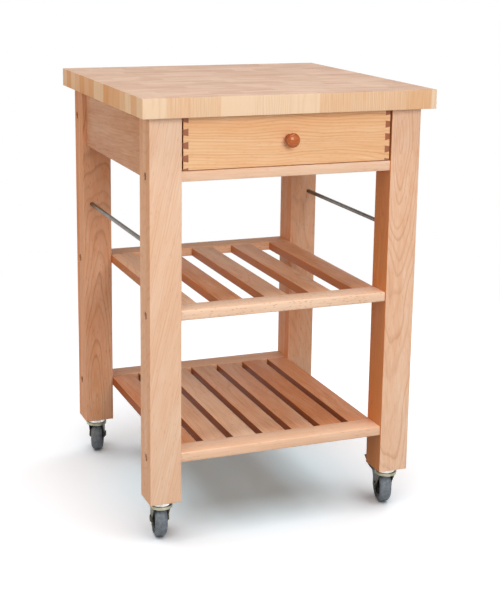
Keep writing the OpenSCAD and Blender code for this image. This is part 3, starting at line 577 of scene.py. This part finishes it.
@dataclass(frozen=True)
class Moulded(Finish):
    """Moulded plastic or rubber.

    To the eye it is one even colour, very slightly mottled, with the fine grain that the mould
    leaves, and on rubber a dusty bloom that lightens it here and there.
    """

    colour: str = "#151516"
    bloom: str = "#2a2a2b"
    roughness: float = 0.5
    grain_scale: float = 1500.0
    grain_depth: float = 0.15

    def surface(self, node: NodeAdder) -> Socket:
        """Builds the nodes of this finish.

        Args:
            node: adds a node to the material.

        Returns:
            The shader's output.
        """
        where = node("TexCoord", out="Object")
        dust = node("TexNoise", {"Vector": where, "Scale": 120.0, "Detail": 5.0, "Roughness": 0.65})
        tone = node("MapRange", [dust, 0.4, 0.75])
        colour = node("Mix", {0: tone, 6: self.colour, 7: self.bloom}, 2, data_type="RGBA")
        grain = node("TexNoise", {"Vector": where, "Scale": self.grain_scale, "Detail": 2.0})
        bump = node("Bump", {"Height": grain, "Strength": self.grain_depth, "Distance": 0.1 * MM})
        rough = node("MapRange", [dust, 0.0, 1.0, self.roughness - 0.1, self.roughness + 0.1])
        return node("BsdfPrincipled", {"Base Color": colour, "Roughness": rough, "Normal": bump})


@dataclass(frozen=True)
class Plywood(Finish):
    """Birch plywood, sanded and left raw.

    To the eye its faces are pale with broad soft figure, and its edges show thin dark plies.
    """

    pale: str = "#ecd6b4"
    deep: str = "#d9b98c"

    def surface(self, node: NodeAdder) -> Socket:
        """Builds the nodes of this finish.

        Args:
            node: adds a node to the material.

        Returns:
            The shader's output.
        """
        where = node("TexCoord", out="Object")
        broad = node("VectorMath", [where, (1.0, 0.15, 1.0)], operation="MULTIPLY")
        figure = node("TexNoise", {"Vector": broad, "Scale": 30.0, "Detail": 6.0, "Roughness": 0.6, "Distortion": 1.5})
        tone = node("MapRange", [figure, 0.35, 0.65])
        colour = node("Mix", {0: tone, 6: self.pale, 7: self.deep}, 2, data_type="RGBA")
        thin = node("VectorMath", [where, (1.0, 0.03, 1.0)], operation="MULTIPLY")
        fibre = node("TexNoise", {"Vector": thin, "Scale": 600.0, "Detail": 3.0})
        bump = node("Bump", {"Height": fibre, "Strength": 0.3, "Distance": 0.1 * MM})
        return node("BsdfPrincipled", {"Base Color": colour, "Roughness": 0.62, "Normal": bump, "IOR": 1.5,
                                       "Specular IOR Level": 0.25})


WORKTOP_FINISH = EndGrainBeech("beech_end_grain_oiled")
KNOB_FINISH = VarnishedKnobWood("turned_hardwood_varnished")
ROD_FINISH = Metal("stainless_steel_brushed", bright="#7d7974", tint="#67625c", roughness=0.3,
                   brush=(1.0, 0.02, 1.0), mark_scale=900.0)
ZINC_FINISH = Metal("steel_zinc_plated", bright="#cfcbbf", tint="#a99f7c", roughness=0.32)
BOLT_FINISH = Metal("steel_bronzed", bright="#a5754f", tint="#7d5233", roughness=0.45)
RACE_FINISH = Metal("steel_nickel_plated", bright="#f2f0ea", tint="#cfcdc4", roughness=0.2)
# The axle: zinc painted dark, as painted shade in place of its highlight
SHADED_AXLE_FINISH = Metal("steel_zinc_plated_painted_shade", bright="#5d584c", tint="#454034", roughness=0.5)
CROWN_FINISH = Metal("pressed_steel_yellow_zinc", bright="#b9b6a2", tint="#8c8973", roughness=0.34)
# The fork's arms: the crown's yellow zinc painted darker, as painted shade
SHADED_ARM_FINISH = Metal("pressed_steel_yellow_zinc_painted_shade", bright="#6b6655", tint="#403c31", roughness=0.45)
BRASS_FINISH = Metal("brass_turned", bright="#d9b765", tint="#b8923f", roughness=0.3)
WASHER_FINISH = Moulded("acetal_moulded_white", colour="#dcdcd6", bloom="#e8e8e4", roughness=0.45)
HUB_FINISH = Moulded("nylon_moulded_black", colour="#0c0c0d", bloom="#1b1c1d", roughness=0.42)
TYRE_FINISH = Moulded("rubber_moulded_grey", colour="#616970", bloom="#87929b", roughness=0.5)
PEDAL_FINISH = Moulded("nylon_moulded_pedal_black", colour="#0b0b0c", bloom="#171818", roughness=0.4)
PLYWOOD_FINISH = Plywood("birch_plywood_sanded")


# ---------------------------------------------------------------- pieces


@dataclass
class Assembly:
    """What every sub-assembly of the trolley shares: the body it rides on and how a piece is fitted."""

    body: str = "frame"

    def fit(self, piece: Piece, finish: Finish, slot: str, nodes: Iterable[str] = ()) -> Piece:
        """Dresses a finished piece and fixes it to its body.

        Args:
            piece: the piece, in place.
            finish: its finish.
            slot: the record's material slot; not used.
            nodes: the solids that it stands for.

        Returns:
            The piece.
        """
        piece.data.materials.clear()
        piece.data.materials.append(finish.material())
        if nodes:
            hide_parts(*nodes)
        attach(piece, self.body)
        LOG.info("%s on %s in %s", piece.name, self.body, finish.name)
        return piece

    def eased(self, node: str, name: str, finish: Finish, slot: str, ease: float = 0.0,
              shortest: float = 12 * MM, steps: int = 2, smooth: float = 40.0) -> Piece:
        """Copies a solid, merges its surface and breaks its outer corners as sandpaper does.

        Args:
            node: the solid to copy.
            name: the new piece's name.
            finish: its finish.
            slot: the record's material slot.
            ease: width of the broken corner, or 0 for none.
            shortest: the shortest edge that is broken.
            steps: facets across a broken corner.
            smooth: the largest angle in degrees that is shaded smooth, or 0 for flat faces.

        Returns:
            The piece, fitted in place of the solid.
        """
        piece = copied(name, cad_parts[node])
        bpy.ops.mesh.customdata_custom_splitnormals_clear()
        bpy.ops.object.mode_set(mode="EDIT")
        bpy.ops.mesh.select_all(action="SELECT")
        bpy.ops.mesh.remove_doubles(threshold=1e-6)
        bpy.ops.mesh.dissolve_limited(angle_limit=math.radians(0.5))
        if ease and pick_parts(piece, "EDGE", lambda e: is_corner(e) and e.calc_length() >= shortest):
            bpy.ops.mesh.bevel(offset=ease, segments=steps, affect="EDGES", clamp_overlap=False)
        bpy.ops.object.mode_set(mode="OBJECT")
        if smooth:
            bpy.ops.object.shade_smooth_by_angle(angle=math.radians(smooth))
        else:
            bpy.ops.object.shade_flat()
        return self.fit(piece, finish, slot, [node])


@dataclass
class Worktop(Assembly):
    """The thick end-grain top."""

    ease: float = 1.2 * MM

    def build(self) -> None:
        """Builds the top with its edges broken."""
        self.eased("worktop", "worktop_block", WORKTOP_FINISH, "end_grain_beech", self.ease, 50 * MM, 3)


@dataclass
class Carcase(Assembly):
    """Legs, aprons, drawer rail and the runners inside."""

    lamella: float = 64 * MM / 3
    leg_front: float = 280 * MM
    ease: float = 1.5 * MM

    def leg(self, corner: str, seed: float, **look) -> None:
        """Builds one leg, glued up of three boards side by side.

        Args:
            corner: front or rear, and left or right.
            seed: number that picks its boards.
            look: changes to the wood's finish.
        """
        start = -self.leg_front if corner.startswith("front") else self.leg_front - 3 * self.lamella
        # Faces of the legs that look left get painted shade, 0.35 unless a leg sets its own
        look = {"side_tone": 0.35, **look}
        finish = PlanedBeech(f"steamed_beech_planed_{corner}_leg", Grain.ALONG_Z, seed, board_axis=1,
                             board_start=start, board_width=self.lamella, **look)
        self.eased(f"leg_{corner}", f"{corner}_leg", finish, "beech", self.ease, 30 * MM, 3)

    def build(self) -> None:
        """Builds all the carcase's wooden parts."""
        self.leg("front_left", 3.0, tone=0.12, ring_depth=0.24, lean=(-0.22, 0.04), pith=(-0.9, -0.1),
                 ring_gap=5 * MM, fleck_depth=0.2, warm="#e0a070")
        self.leg("front_right", 11.0, tone=0.45, ring_depth=0.42, lean=(0.0, 0.09), pith=(0.262, -0.19),
                 ring_gap=5 * MM, fleck_depth=0.2, warm="#d98f58", wobble=11 * MM, side_tone=0.75)
        self.leg("rear_left", 23.0, tone=0.52, tone_depth=0.5, ring_depth=0.4, lean=(0.0, 0.11),
                 pith=(-0.25, 0.23), ring_gap=5 * MM, warm="#e29054", line="#96512f", side_tone=0.1)
        self.leg("rear_right", 31.0, tone=0.45, tone_depth=0.5, ring_depth=0.22, lean=(0.0, 0.1),
                 pith=(0.25, 0.2), ring_gap=5.5 * MM, warm="#e08f54", line="#96512f")
        # The left apron is set darker and warmer all over, as painted shade on its left face
        shaded_apron = dict(tone=0.65, pith=(0.82, -0.22), lean=(0.06, 0.0), wobble=11 * MM, warm="#c98a63",
                          line="#8d5637", ring_depth=0.16)
        for node, seed, grain, look in (
                ("apron_left", 41.0, Grain.ALONG_Y, shaded_apron),
                ("apron_right", 43.0, Grain.ALONG_Y, dict(tone=0.5, pith=(0.83, 0.3), lean=(0.05, 0.0))),
                ("apron_back", 47.0, Grain.ALONG_X, dict(tone=0.5, pith=(0.32, 0.8))),
                ("front_rail", 53.0, Grain.ALONG_X, dict(tone=0.15, ring_depth=0.15)),
                ("bearer_left", 59.0, Grain.ALONG_Y, {}), ("bearer_right", 61.0, Grain.ALONG_Y, {}),
                ("drawer_stops", 67.0, Grain.ALONG_Y, {}), ("stop_cleat", 71.0, Grain.ALONG_X, {})):
            finish = PlanedBeech(f"steamed_beech_planed_{node}", grain, seed, **look)
            self.eased(node, f"{node}_board", finish, "beech", self.ease, 12 * MM, 3)


@dataclass
class Shelf(Assembly):
    """A slatted shelf between its front and back boards."""

    level: str = "mid"
    slats: int = 5
    slat_width: float = 50 * MM
    leg_gap: float = 441 * MM
    seed: float = 0.0
    front_tone: float = 0.1
    fleck_depth: float = 0.3
    fleck_scale: float = 240.0
    fleck_share: float = 0.4
    ease: float = 2.2 * MM
    slat_ease: float = 1.5 * MM
    # How far the slats' left-looking sides are painted towards the line colour, as painted shade in the gaps
    shaded_side_depth: float = 0.28

    def build(self) -> None:
        """Builds the boards and the slats."""
        level, look = self.level, "steamed_beech_planed"
        for place, extra, tone in (("front", 0.0, self.front_tone), ("back", 1.0, 0.55)):
            board = f"{level}_{place}_board"
            finish = PlanedBeech(f"{look}_{board}", Grain.ALONG_X, self.seed + extra, tone=tone, ring_depth=0.15,
                                 fleck_depth=self.fleck_depth, fleck_scale=self.fleck_scale,
                                 fleck_share=self.fleck_share)
            self.eased(f"{level}_shelf_{place}_board", board, finish, "beech", self.ease, 15 * MM, 3)
        pitch = (self.leg_gap - self.slat_width) / (self.slats - 1)
        start = -self.leg_gap / 2 + self.slat_width / 2 - pitch / 2
        # The slats' left-looking sides get painted shade: warmer, then darker towards the line colour
        finish = PlanedBeech(f"{look}_{level}_slats", Grain.ALONG_Y, self.seed + 5.0, board_axis=0,
                             board_start=start, board_width=pitch, glue_depth=0.0, tone=0.55, tone_depth=0.8,
                             side_tone=0.6, pale="#f8d2b2", warm="#cf8350", line="#8f4617", ring_depth=0.2,
                             wobble=14 * MM, shaded_side_depth=self.shaded_side_depth)
        self.eased(f"{level}_shelf_slats", f"{level}_slats", finish, "beech", self.slat_ease, 12 * MM, 3)


@dataclass
class TowelRails(Assembly):
    """The two steel rods between the legs."""

    def build(self) -> None:
        """Builds both rods."""
        for side in ("left", "right"):
            self.eased(f"towel_rail_{side}", f"{side}_towel_rod", ROD_FINISH, "stainless_rod")


@dataclass
class Drawer(Assembly):
    """The drawer with its dovetailed corners and turned knob."""

    body: str = "drawer"
    face_y: float = -277 * MM
    knob_z: float = 809.4 * MM
    knob_length: float = 25 * MM
    head_radius: float = 14.25 * MM
    head_length: float = 16 * MM
    head_start: float = -58.0
    head_steps: int = 12
    neck_radius: float = 6 * MM
    foot_radius: float = 10.5 * MM
    foot_thick: float = 2 * MM

    def knob(self) -> None:
        """Turns the knob: a round foot, a hollow neck and a ball flattened at the front."""
        head_mid = self.knob_length - self.head_length / 2
        foot, neck, thick = self.foot_radius, self.neck_radius, self.foot_thick
        outline = [(0.0, 0.0), (foot, 0.0), (foot, 0.6 * thick), (foot - 0.8 * MM, thick),
                   (neck + 0.4 * MM, thick + 1 * MM), (neck, thick + 2.5 * MM)]
        for step in range(self.head_steps + 1):
            angle = math.radians(self.head_start + step * (90 - self.head_start) / self.head_steps)
            outline.append((max(self.head_radius * math.cos(angle), 0.0),
                            head_mid + self.head_length / 2 * math.sin(angle)))
        outline[-1] = (0.0, self.knob_length)
        piece = turned("turned_knob", outline, (0.0, self.face_y, self.knob_z), (0.0, -1.0, 0.0), 64, 45.0)
        self.fit(piece, KNOB_FINISH, "knob_wood", ["drawer_knob"])

    def build(self) -> None:
        """Builds the drawer box, its bottom, knob and screw."""
        front = PlanedBeech("steamed_beech_planed_drawer_front", Grain.ALONG_X, 80.0, pale="#fbd2a6", warm="#eb9f5c",
                            line="#c4702f", end="#9c4f28", tone=0.3, ring_gap=6.5 * MM, ring_depth=0.55,
                            pith=(-0.24, 0.62), wobble=15 * MM, fleck_depth=0.15, lean=(0.0, 0.03))
        self.eased("drawer_front", "drawer_face", front, "drawer_front_beech", 0.6 * MM, 90 * MM, smooth=0.0)
        for node, seed, grain in (("drawer_side_left", 83.0, Grain.ALONG_Y),
                                  ("drawer_side_right", 85.0, Grain.ALONG_Y), ("drawer_back", 87.0, Grain.ALONG_X)):
            finish = PlanedBeech(f"steamed_beech_planed_{node}", grain, seed, end="#9a4e2a")
            self.eased(node, f"{node}_board", finish, "beech", 0.5 * MM, 90 * MM, smooth=0.0)
        self.eased("drawer_bottom", "drawer_bottom_panel", PLYWOOD_FINISH, "plywood", smooth=0.0)
        self.knob()
        self.eased("knob_screw", "knob_fixing_screw", ZINC_FINISH, "zinc_steel")


@dataclass
class Fasteners(Assembly):
    """Bolts, nuts, dowels, brackets and screws of the frame."""

    def build(self) -> None:
        """Builds each kind of fastener."""
        self.eased("frame_bolts", "frame_bolts_bronzed", BOLT_FINISH, "zinc_steel", 0.3 * MM, 1 * MM)
        for node in ("barrel_nuts", "top_brackets", "bracket_screws", "case_screws"):
            self.eased(node, f"{node}_zinc", ZINC_FINISH, "zinc_steel")
        self.eased("frame_dowels", "glued_dowels", PlanedBeech("beech_dowel_rod", Grain.ALONG_X, 91.0), "beech")
        self.eased("leg_inserts", "leg_socket_inserts", BRASS_FINISH, "brass_insert")
        self.eased("castor_stems", "castor_stem_bolts", RACE_FINISH, "zinc_steel", 0.4 * MM, 2 * MM)
        self.eased("thrust_washers", "castor_thrust_washers", WASHER_FINISH, "washer_plastic")


@dataclass
class Castors:
    """The four swivel castors: fork, axle and wheel, and at the right a brake."""

    leg_x: float = 252.5 * MM
    leg_y: float = 248 * MM
    trail: float = 26 * MM
    wheel_radius: float = 37.5 * MM
    tyre_width: float = 25.5 * MM
    tyre_bore: float = 28.6 * MM
    shoulder: float = 8 * MM
    ridge: float = 0.3 * MM
    hub_radius: float = 28.5 * MM
    rim_radius: float = 22.2 * MM
    rim_width: float = 21 * MM
    web_width: float = 10.5 * MM
    boss_radius: float = 9 * MM
    boss_width: float = 28.4 * MM
    bore_radius: float = 4.05 * MM
    ribs: int = 8
    crown_z: float = 77.5 * MM
    crown_rim: float = 21.5 * MM
    race_z: float = 80 * MM
    skirt: float = 3.5 * MM
    pin_behind: float = 24 * MM
    pin_z: float = 73 * MM
    tread_rise: float = 14.0
    tread_thick: float = 3 * MM
    tread_width: float = 54 * MM

    def tyre(self) -> Piece:
        """Turns one tyre about the X axis: round shoulders, a mould line and a groove in each flank."""
        half, top, bore = self.tyre_width / 2, self.wheel_radius - self.ridge, self.tyre_bore
        flank = [(bore, half - 0.6 * MM), (bore + 0.6 * MM, half), (bore + 2.2 * MM, half),
                 (bore + 2.6 * MM, half - 0.5 * MM), (bore + 3.0 * MM, half)]
        for step in range(9):
            angle = math.radians(step * 90 / 8)
            flank.append((top - self.shoulder + self.shoulder * math.sin(angle),
                          half - self.shoulder + self.shoulder * math.cos(angle)))
        flank += [(top, 0.7 * MM), (self.wheel_radius, 0.25 * MM)]
        outline = flank + [(radius, -along) for radius, along in reversed(flank)] + flank[:1]
        return turned("tyre_pattern", outline, (0.0, 0.0, 0.0), (1.0, 0.0, 0.0), 96)

    def hub(self) -> Piece:
        """Turns one hub about the X axis and sets ribs between its boss and its rim."""
        rim, web, boss = self.rim_width / 2, self.web_width / 2, self.boss_width / 2
        fillet = 1.5 * MM
        half = [(self.bore_radius, boss), (self.boss_radius - 0.6 * MM, boss), (self.boss_radius, boss - 0.6 * MM),
                (self.boss_radius, web + fillet), (self.boss_radius + fillet, web), (self.rim_radius - fillet, web),
                (self.rim_radius, web + fillet), (self.rim_radius, rim - 0.5 * MM), (self.rim_radius + 0.5 * MM, rim),
                (self.hub_radius - 0.5 * MM, rim), (self.hub_radius, rim - 0.5 * MM)]
        outline = half + [(radius, -along) for radius, along in reversed(half)] + half[:1]
        hub = turned("hub_pattern", outline, (0.0, 0.0, 0.0), (1.0, 0.0, 0.0), 64)
        reach = self.rim_radius - self.boss_radius + 1 * MM
        rib = bar("hub_rib", (0.0, 0.0, (self.rim_radius + self.boss_radius) / 2),
                  (self.rim_width - 3 * MM, 1.8 * MM, reach),
                  lambda e: abs((e.verts[0].co - e.verts[1].co).z) > reach / 2, 0.5 * MM)
        bpy.ops.object.mode_set(mode="EDIT")
        bpy.ops.mesh.select_all(action="SELECT")
        bpy.ops.mesh.spin(steps=self.ribs, angle=2 * math.pi, dupli=True, center=(0.0, 0.0, 0.0), axis=(1.0, 0.0, 0.0))
        bpy.ops.mesh.select_all(action="SELECT")
        bpy.ops.mesh.remove_doubles(threshold=0.01 * MM)
        bpy.ops.mesh.normals_make_consistent(inside=False)
        bpy.ops.object.mode_set(mode="OBJECT")
        pick_only(hub, rib)
        bpy.ops.object.join()
        bpy.ops.object.shade_smooth_by_angle(angle=math.radians(35))
        return hub

    def tread_bars(self) -> Piece:
        """Builds the raised bars across a pedal, in the castor's own frame."""
        bars = bar("pedal_bar_pattern", (0.0, 16 * MM, self.tread_thick + 0.2 * MM),
                   (self.tread_width - 8 * MM, 1.6 * MM, 1.4 * MM),
                   lambda e: all(v.co.z > self.tread_thick for v in e.verts), 0.4 * MM)
        more = bars.modifiers.new("row", "ARRAY")
        more.count, more.use_relative_offset, more.use_constant_offset = 5, False, True
        more.constant_offset_displace = (0.0, 3.6 * MM, 0.0)
        pick_only(bars)
        bpy.ops.object.modifier_apply(modifier=more.name)
        bars.matrix_world = (Matrix.Translation((0.0, self.trail + self.pin_behind, self.pin_z))
                             @ Matrix.Rotation(math.radians(self.tread_rise), 4, "X"))
        bpy.ops.object.transform_apply()
        return bars

    def placed(self, pattern: Piece, name: str, frame_of: Matrix) -> Piece:
        """Copies a pattern with its own mesh and sets the copy in its castor.

        Args:
            pattern: the piece that is modelled once.
            name: the copy's name.
            frame_of: where the pattern's own frame stands.

        Returns:
            The copy, its place in its mesh.
        """
        piece = copied(name, pattern)
        piece.matrix_world = frame_of
        bpy.ops.object.transform_apply()
        return piece

    def fork(self, corner: str, axis: Vector) -> None:
        """Builds a fork whose crown and race have each their own plating, and whose arms carry the crown's plating
        painted darker as painted shade.

        Args:
            corner: the castor's corner.
            axis: a point on its swivel axis.
        """
        rig = Assembly(f"castor_{corner}")
        # The fork starts all in the arms' painted shade; crown and race faces then get their own plating
        fork = rig.eased(f"fork_{corner}", f"fork_{corner}_pressed", SHADED_ARM_FINISH, "zinc_steel", 0.7 * MM, 3 * MM)
        fork.data.materials.append(CROWN_FINISH.material())
        fork.data.materials.append(RACE_FINISH.material())
        for face in fork.data.polygons:
            away = (face.center - axis).to_2d().length
            if face.center.z > self.race_z + 0.3 * MM:
                face.material_index = 2
            elif face.center.z > self.crown_z - self.skirt and (away > self.crown_rim or face.normal.z > 0.9):
                face.material_index = 1
        # The axle in the dark zinc that paints its shade
        rig.eased(f"axle_{corner}", f"axle_{corner}_bolt", SHADED_AXLE_FINISH, "zinc_steel", 0.5 * MM, 3 * MM)

    def brake(self, corner: str, bars: Piece, swivel: Matrix) -> None:
        """Builds a brake: the pedal with its ribbed tread, and its rivet.

        Args:
            corner: the castor's corner.
            bars: the pattern of the tread's bars.
            swivel: where the castor's own frame stands.
        """
        rig, lever = Assembly(f"castor_{corner}"), Assembly(f"brake_{corner}")
        rig.eased(f"brake_pin_{corner}", f"brake_rivet_{corner}", ZINC_FINISH, "zinc_steel", 0.4 * MM, 1 * MM)
        lever.eased(f"brake_pedal_{corner}", f"brake_lever_{corner}", PEDAL_FINISH, "pedal_plastic",
                    0.5 * MM, 4 * MM)
        lever.fit(self.placed(bars, f"brake_tread_bars_{corner}", swivel), PEDAL_FINISH, "pedal_plastic")

    def build(self) -> None:
        """Builds the wheel once, then all four castors."""
        tyre, hub, bars = self.tyre(), self.hub(), self.tread_bars()
        for corner, side_x, side_y, turn, braked in (("fl", -1, -1, 9, False), ("fr", 1, -1, 13, True),
                                                     ("rl", -1, 1, 20, False), ("rr", 1, 1, -62, True)):
            axis = Vector((side_x * self.leg_x, side_y * self.leg_y, 0.0))
            swivel = Matrix.Translation(axis) @ Matrix.Rotation(math.radians(-turn), 4, "Z")
            spot = swivel @ Matrix.Translation((0.0, self.trail, self.wheel_radius))
            self.fork(corner, axis)
            wheel = Assembly(f"wheel_{corner}")
            wheel.fit(self.placed(tyre, f"tyre_{corner}_ring", spot), TYRE_FINISH, "tyre_rubber", [f"tyre_{corner}"])
            wheel.fit(self.placed(hub, f"hub_{corner}_moulding", spot), HUB_FINISH, "hub_plastic", [f"hub_{corner}"])
            if braked:
                self.brake(corner, bars, swivel)
        for pattern in (tyre, hub, bars):
            bpy.data.objects.remove(pattern)


# ---------------------------------------------------------------- studio and camera


@dataclass
class Studio:
    """A white floor that keeps the shadow, three lamps on the trolley, one on the floor, and soft light all round."""

    floor_reach: float = 30.0
    floor_inner: float = 2.5
    shadow_reach: float = 1.1
    shadow_fade: float = 0.9
    shade_near: float = 0.08
    shade_far: float = 0.38
    floor_white: str = "#a8a8a8"
    floor_lift: Point = (1.27, 1.3, 1.33)
    shade_lift: Point = (1.24, 1.6, 1.76)
    sky: float = 0.28

    def floor(self) -> Piece:
        """Builds the floor: lit near the trolley, and plain white where it runs out of view."""
        bpy.ops.object.select_all(action="DESELECT")
        bpy.ops.mesh.primitive_circle_add(vertices=96, radius=self.floor_reach, fill_type="NGON")
        floor = bpy.context.object
        floor.name = "studio_floor"
        bpy.ops.object.mode_set(mode="EDIT")
        bpy.ops.mesh.select_all(action="SELECT")
        bpy.ops.mesh.inset(thickness=self.floor_reach - self.floor_inner)
        bpy.ops.object.mode_set(mode="OBJECT")
        finish = bpy.data.materials.new("painted_studio_floor")
        finish.use_nodes = True
        finish.node_tree.nodes.clear()
        node = partial(add_node, finish.node_tree)
        lit = node("BsdfDiffuse", {"Color": self.floor_white})
        glow = node("Emission", {"Color": "#ffffff", "Strength": 1.0})
        away = node("VectorMath", [node("TexCoord", out="Object")], "Value", operation="LENGTH")
        # Under the trolley the wood throws pink light down, which the floor's tint takes out again
        under = node("MapRange", [away, self.shade_far, self.shade_near], interpolation_type="SMOOTHSTEP")
        lift = node("Mix", {0: under, 6: (*self.floor_lift, 1.0), 7: (*self.shade_lift, 1.0)}, 2, data_type="RGBA")
        shown_lit = node("BsdfDiffuse", {"Color": lift})
        far = node("MapRange", [away, self.shadow_reach, self.shadow_reach + self.shadow_fade],
                   interpolation_type="SMOOTHSTEP")
        seen = node("MixShader", [far, shown_lit, glow])
        node("OutputMaterial", {"Surface": node("MixShader", [self.seen_ray(node), lit, seen])})
        floor.data.materials.append(finish)
        return floor

    def seen_ray(self, node: NodeAdder) -> Socket:
        """Tells rays that show the background from rays that carry its light.

        Args:
            node: adds a node to the tree.

        Returns:
            1 for a camera, glossy or transmission ray, otherwise 0.
        """
        rays = node("LightPath").node.outputs
        shown = node("Math", [rays["Is Camera Ray"], rays["Is Glossy Ray"]], operation="MAXIMUM")
        return node("Math", [shown, rays["Is Transmission Ray"]], operation="MAXIMUM")

    def sky_light(self) -> None:
        """Sets the soft light all round and the white behind the object."""
        world = bpy.data.worlds.new("soft_white_room")
        world.use_nodes = True
        world.node_tree.nodes.clear()
        node = partial(add_node, world.node_tree)
        soft, white = (node("Background", ["#ffffff", strength]) for strength in (self.sky, 1.0))
        node("OutputWorld", {"Surface": node("MixShader", [self.seen_ray(node), soft, white])})
        bpy.context.scene.world = world

    def lamp(self, name: str, place: Point, aim: Point, size: tuple[float, float], power: float,
             colour: Point = (1, 1, 1)) -> Piece:
        """Sets one softbox.

        Args:
            name: its name.
            place: where it hangs.
            aim: the point that it faces.
            size: its width and height.
            power: its power in watts.
            colour: its linear colour.

        Returns:
            The lamp.
        """
        data = bpy.data.lights.new(name, "AREA")
        data.shape, (data.size, data.size_y) = "RECTANGLE", size
        data.energy, data.color = power, colour
        lamp = bpy.data.objects.new(name, data)
        bpy.context.scene.collection.objects.link(lamp)
        lamp.location = place
        lamp.rotation_euler = (Vector(aim) - Vector(place)).to_track_quat("-Z", "Y").to_euler()
        return lamp

    def build(self) -> None:
        """Builds the floor, the soft light and the lamps, of which one lights the floor and the others do not."""
        floor = self.floor()
        self.sky_light()
        overhead = self.lamp("overhead_lamp", (0.0, -0.5, 4.5), (0.0, -0.5, 0.0), (3.0, 2.2), 165.0)
        front = self.lamp("front_lamp", (0.0, -3.2, 1.7), (0.0, 0.0, 0.6), (1.5, 1.5), 60.0)
        left = self.lamp("left_fill", (-3.1, -0.6, 1.5), (0.0, 0.0, 0.7), (1.8, 1.8), 30.0, (1.0, 0.72, 0.46))
        below = self.lamp("floor_lamp", (0.0, -1.0, 3.5), (0.0, -1.0, 0.0), (6.0, 5.0), 190.0)
        for state, lamps in (("EXCLUDE", (overhead, front, left)), ("INCLUDE", (below,))):
            linked = bpy.data.collections.new(f"floor_{state.lower()}d")
            linked.objects.link(floor)
            linked.collection_objects[0].light_linking.link_state = state
            for lamp in lamps:
                lamp.light_linking.receiver_collection = linked


@dataclass
class PhotoCamera:
    """The camera at the photograph's viewpoint, from a fit to the trolley's corners."""

    image: tuple[float, float] = (500.0, 600.0)
    focal: float = 1307.114
    centre: tuple[float, float] = (247.247, 235.031)
    place: Point = (-0.998760, -2.579647, 1.177372)
    yaw: float = -0.377515
    pitch: float = -0.219209
    roll: float = 0.013381
    sensor: float = 36.0

    def build(self) -> None:
        """Builds the camera and makes it the scene's own."""
        data = bpy.data.cameras.new("photo_camera")
        long_side = max(self.image)
        data.sensor_width = self.sensor
        data.lens = self.focal / long_side * self.sensor
        data.shift_x = (self.image[0] / 2 - self.centre[0]) / long_side
        data.shift_y = (self.centre[1] - self.image[1] / 2) / long_side
        camera = bpy.data.objects.new("photo_camera", data)
        bpy.context.scene.collection.objects.link(camera)
        level = Vector((-math.sin(self.yaw), math.cos(self.yaw), 0.0))
        right = Vector((math.cos(self.yaw), math.sin(self.yaw), 0.0))
        ahead = level * math.cos(self.pitch) + Vector((0.0, 0.0, math.sin(self.pitch)))
        up = right.cross(ahead)
        side = right * math.cos(self.roll) + up * math.sin(self.roll)
        top = up * math.cos(self.roll) - right * math.sin(self.roll)
        turn = Matrix((side, top, -ahead)).transposed().to_4x4()
        camera.matrix_world = Matrix.Translation(self.place) @ turn
        bpy.context.scene.camera = camera


def main() -> None:
    """Builds the trolley's pieces in order, then the studio and the camera."""
    logging.basicConfig(level=logging.INFO, format="%(name)s: %(message)s")
    bpy.context.scene.view_settings.view_transform = "Standard"
    for part in (Worktop(), Carcase(),
                 Shelf(level="mid", slats=5, seed=101.0, fleck_depth=0.75, fleck_scale=400.0, fleck_share=0.75),
                 Shelf(level="low", slats=7, seed=121.0, front_tone=0.25, slat_ease=0.5 * MM, shaded_side_depth=0.8),
                 TowelRails(), Drawer(), Fasteners(), Castors()):
        part.build()
    PhotoCamera().build()
    Studio().build()


if __name__ == "__main__":
    main()
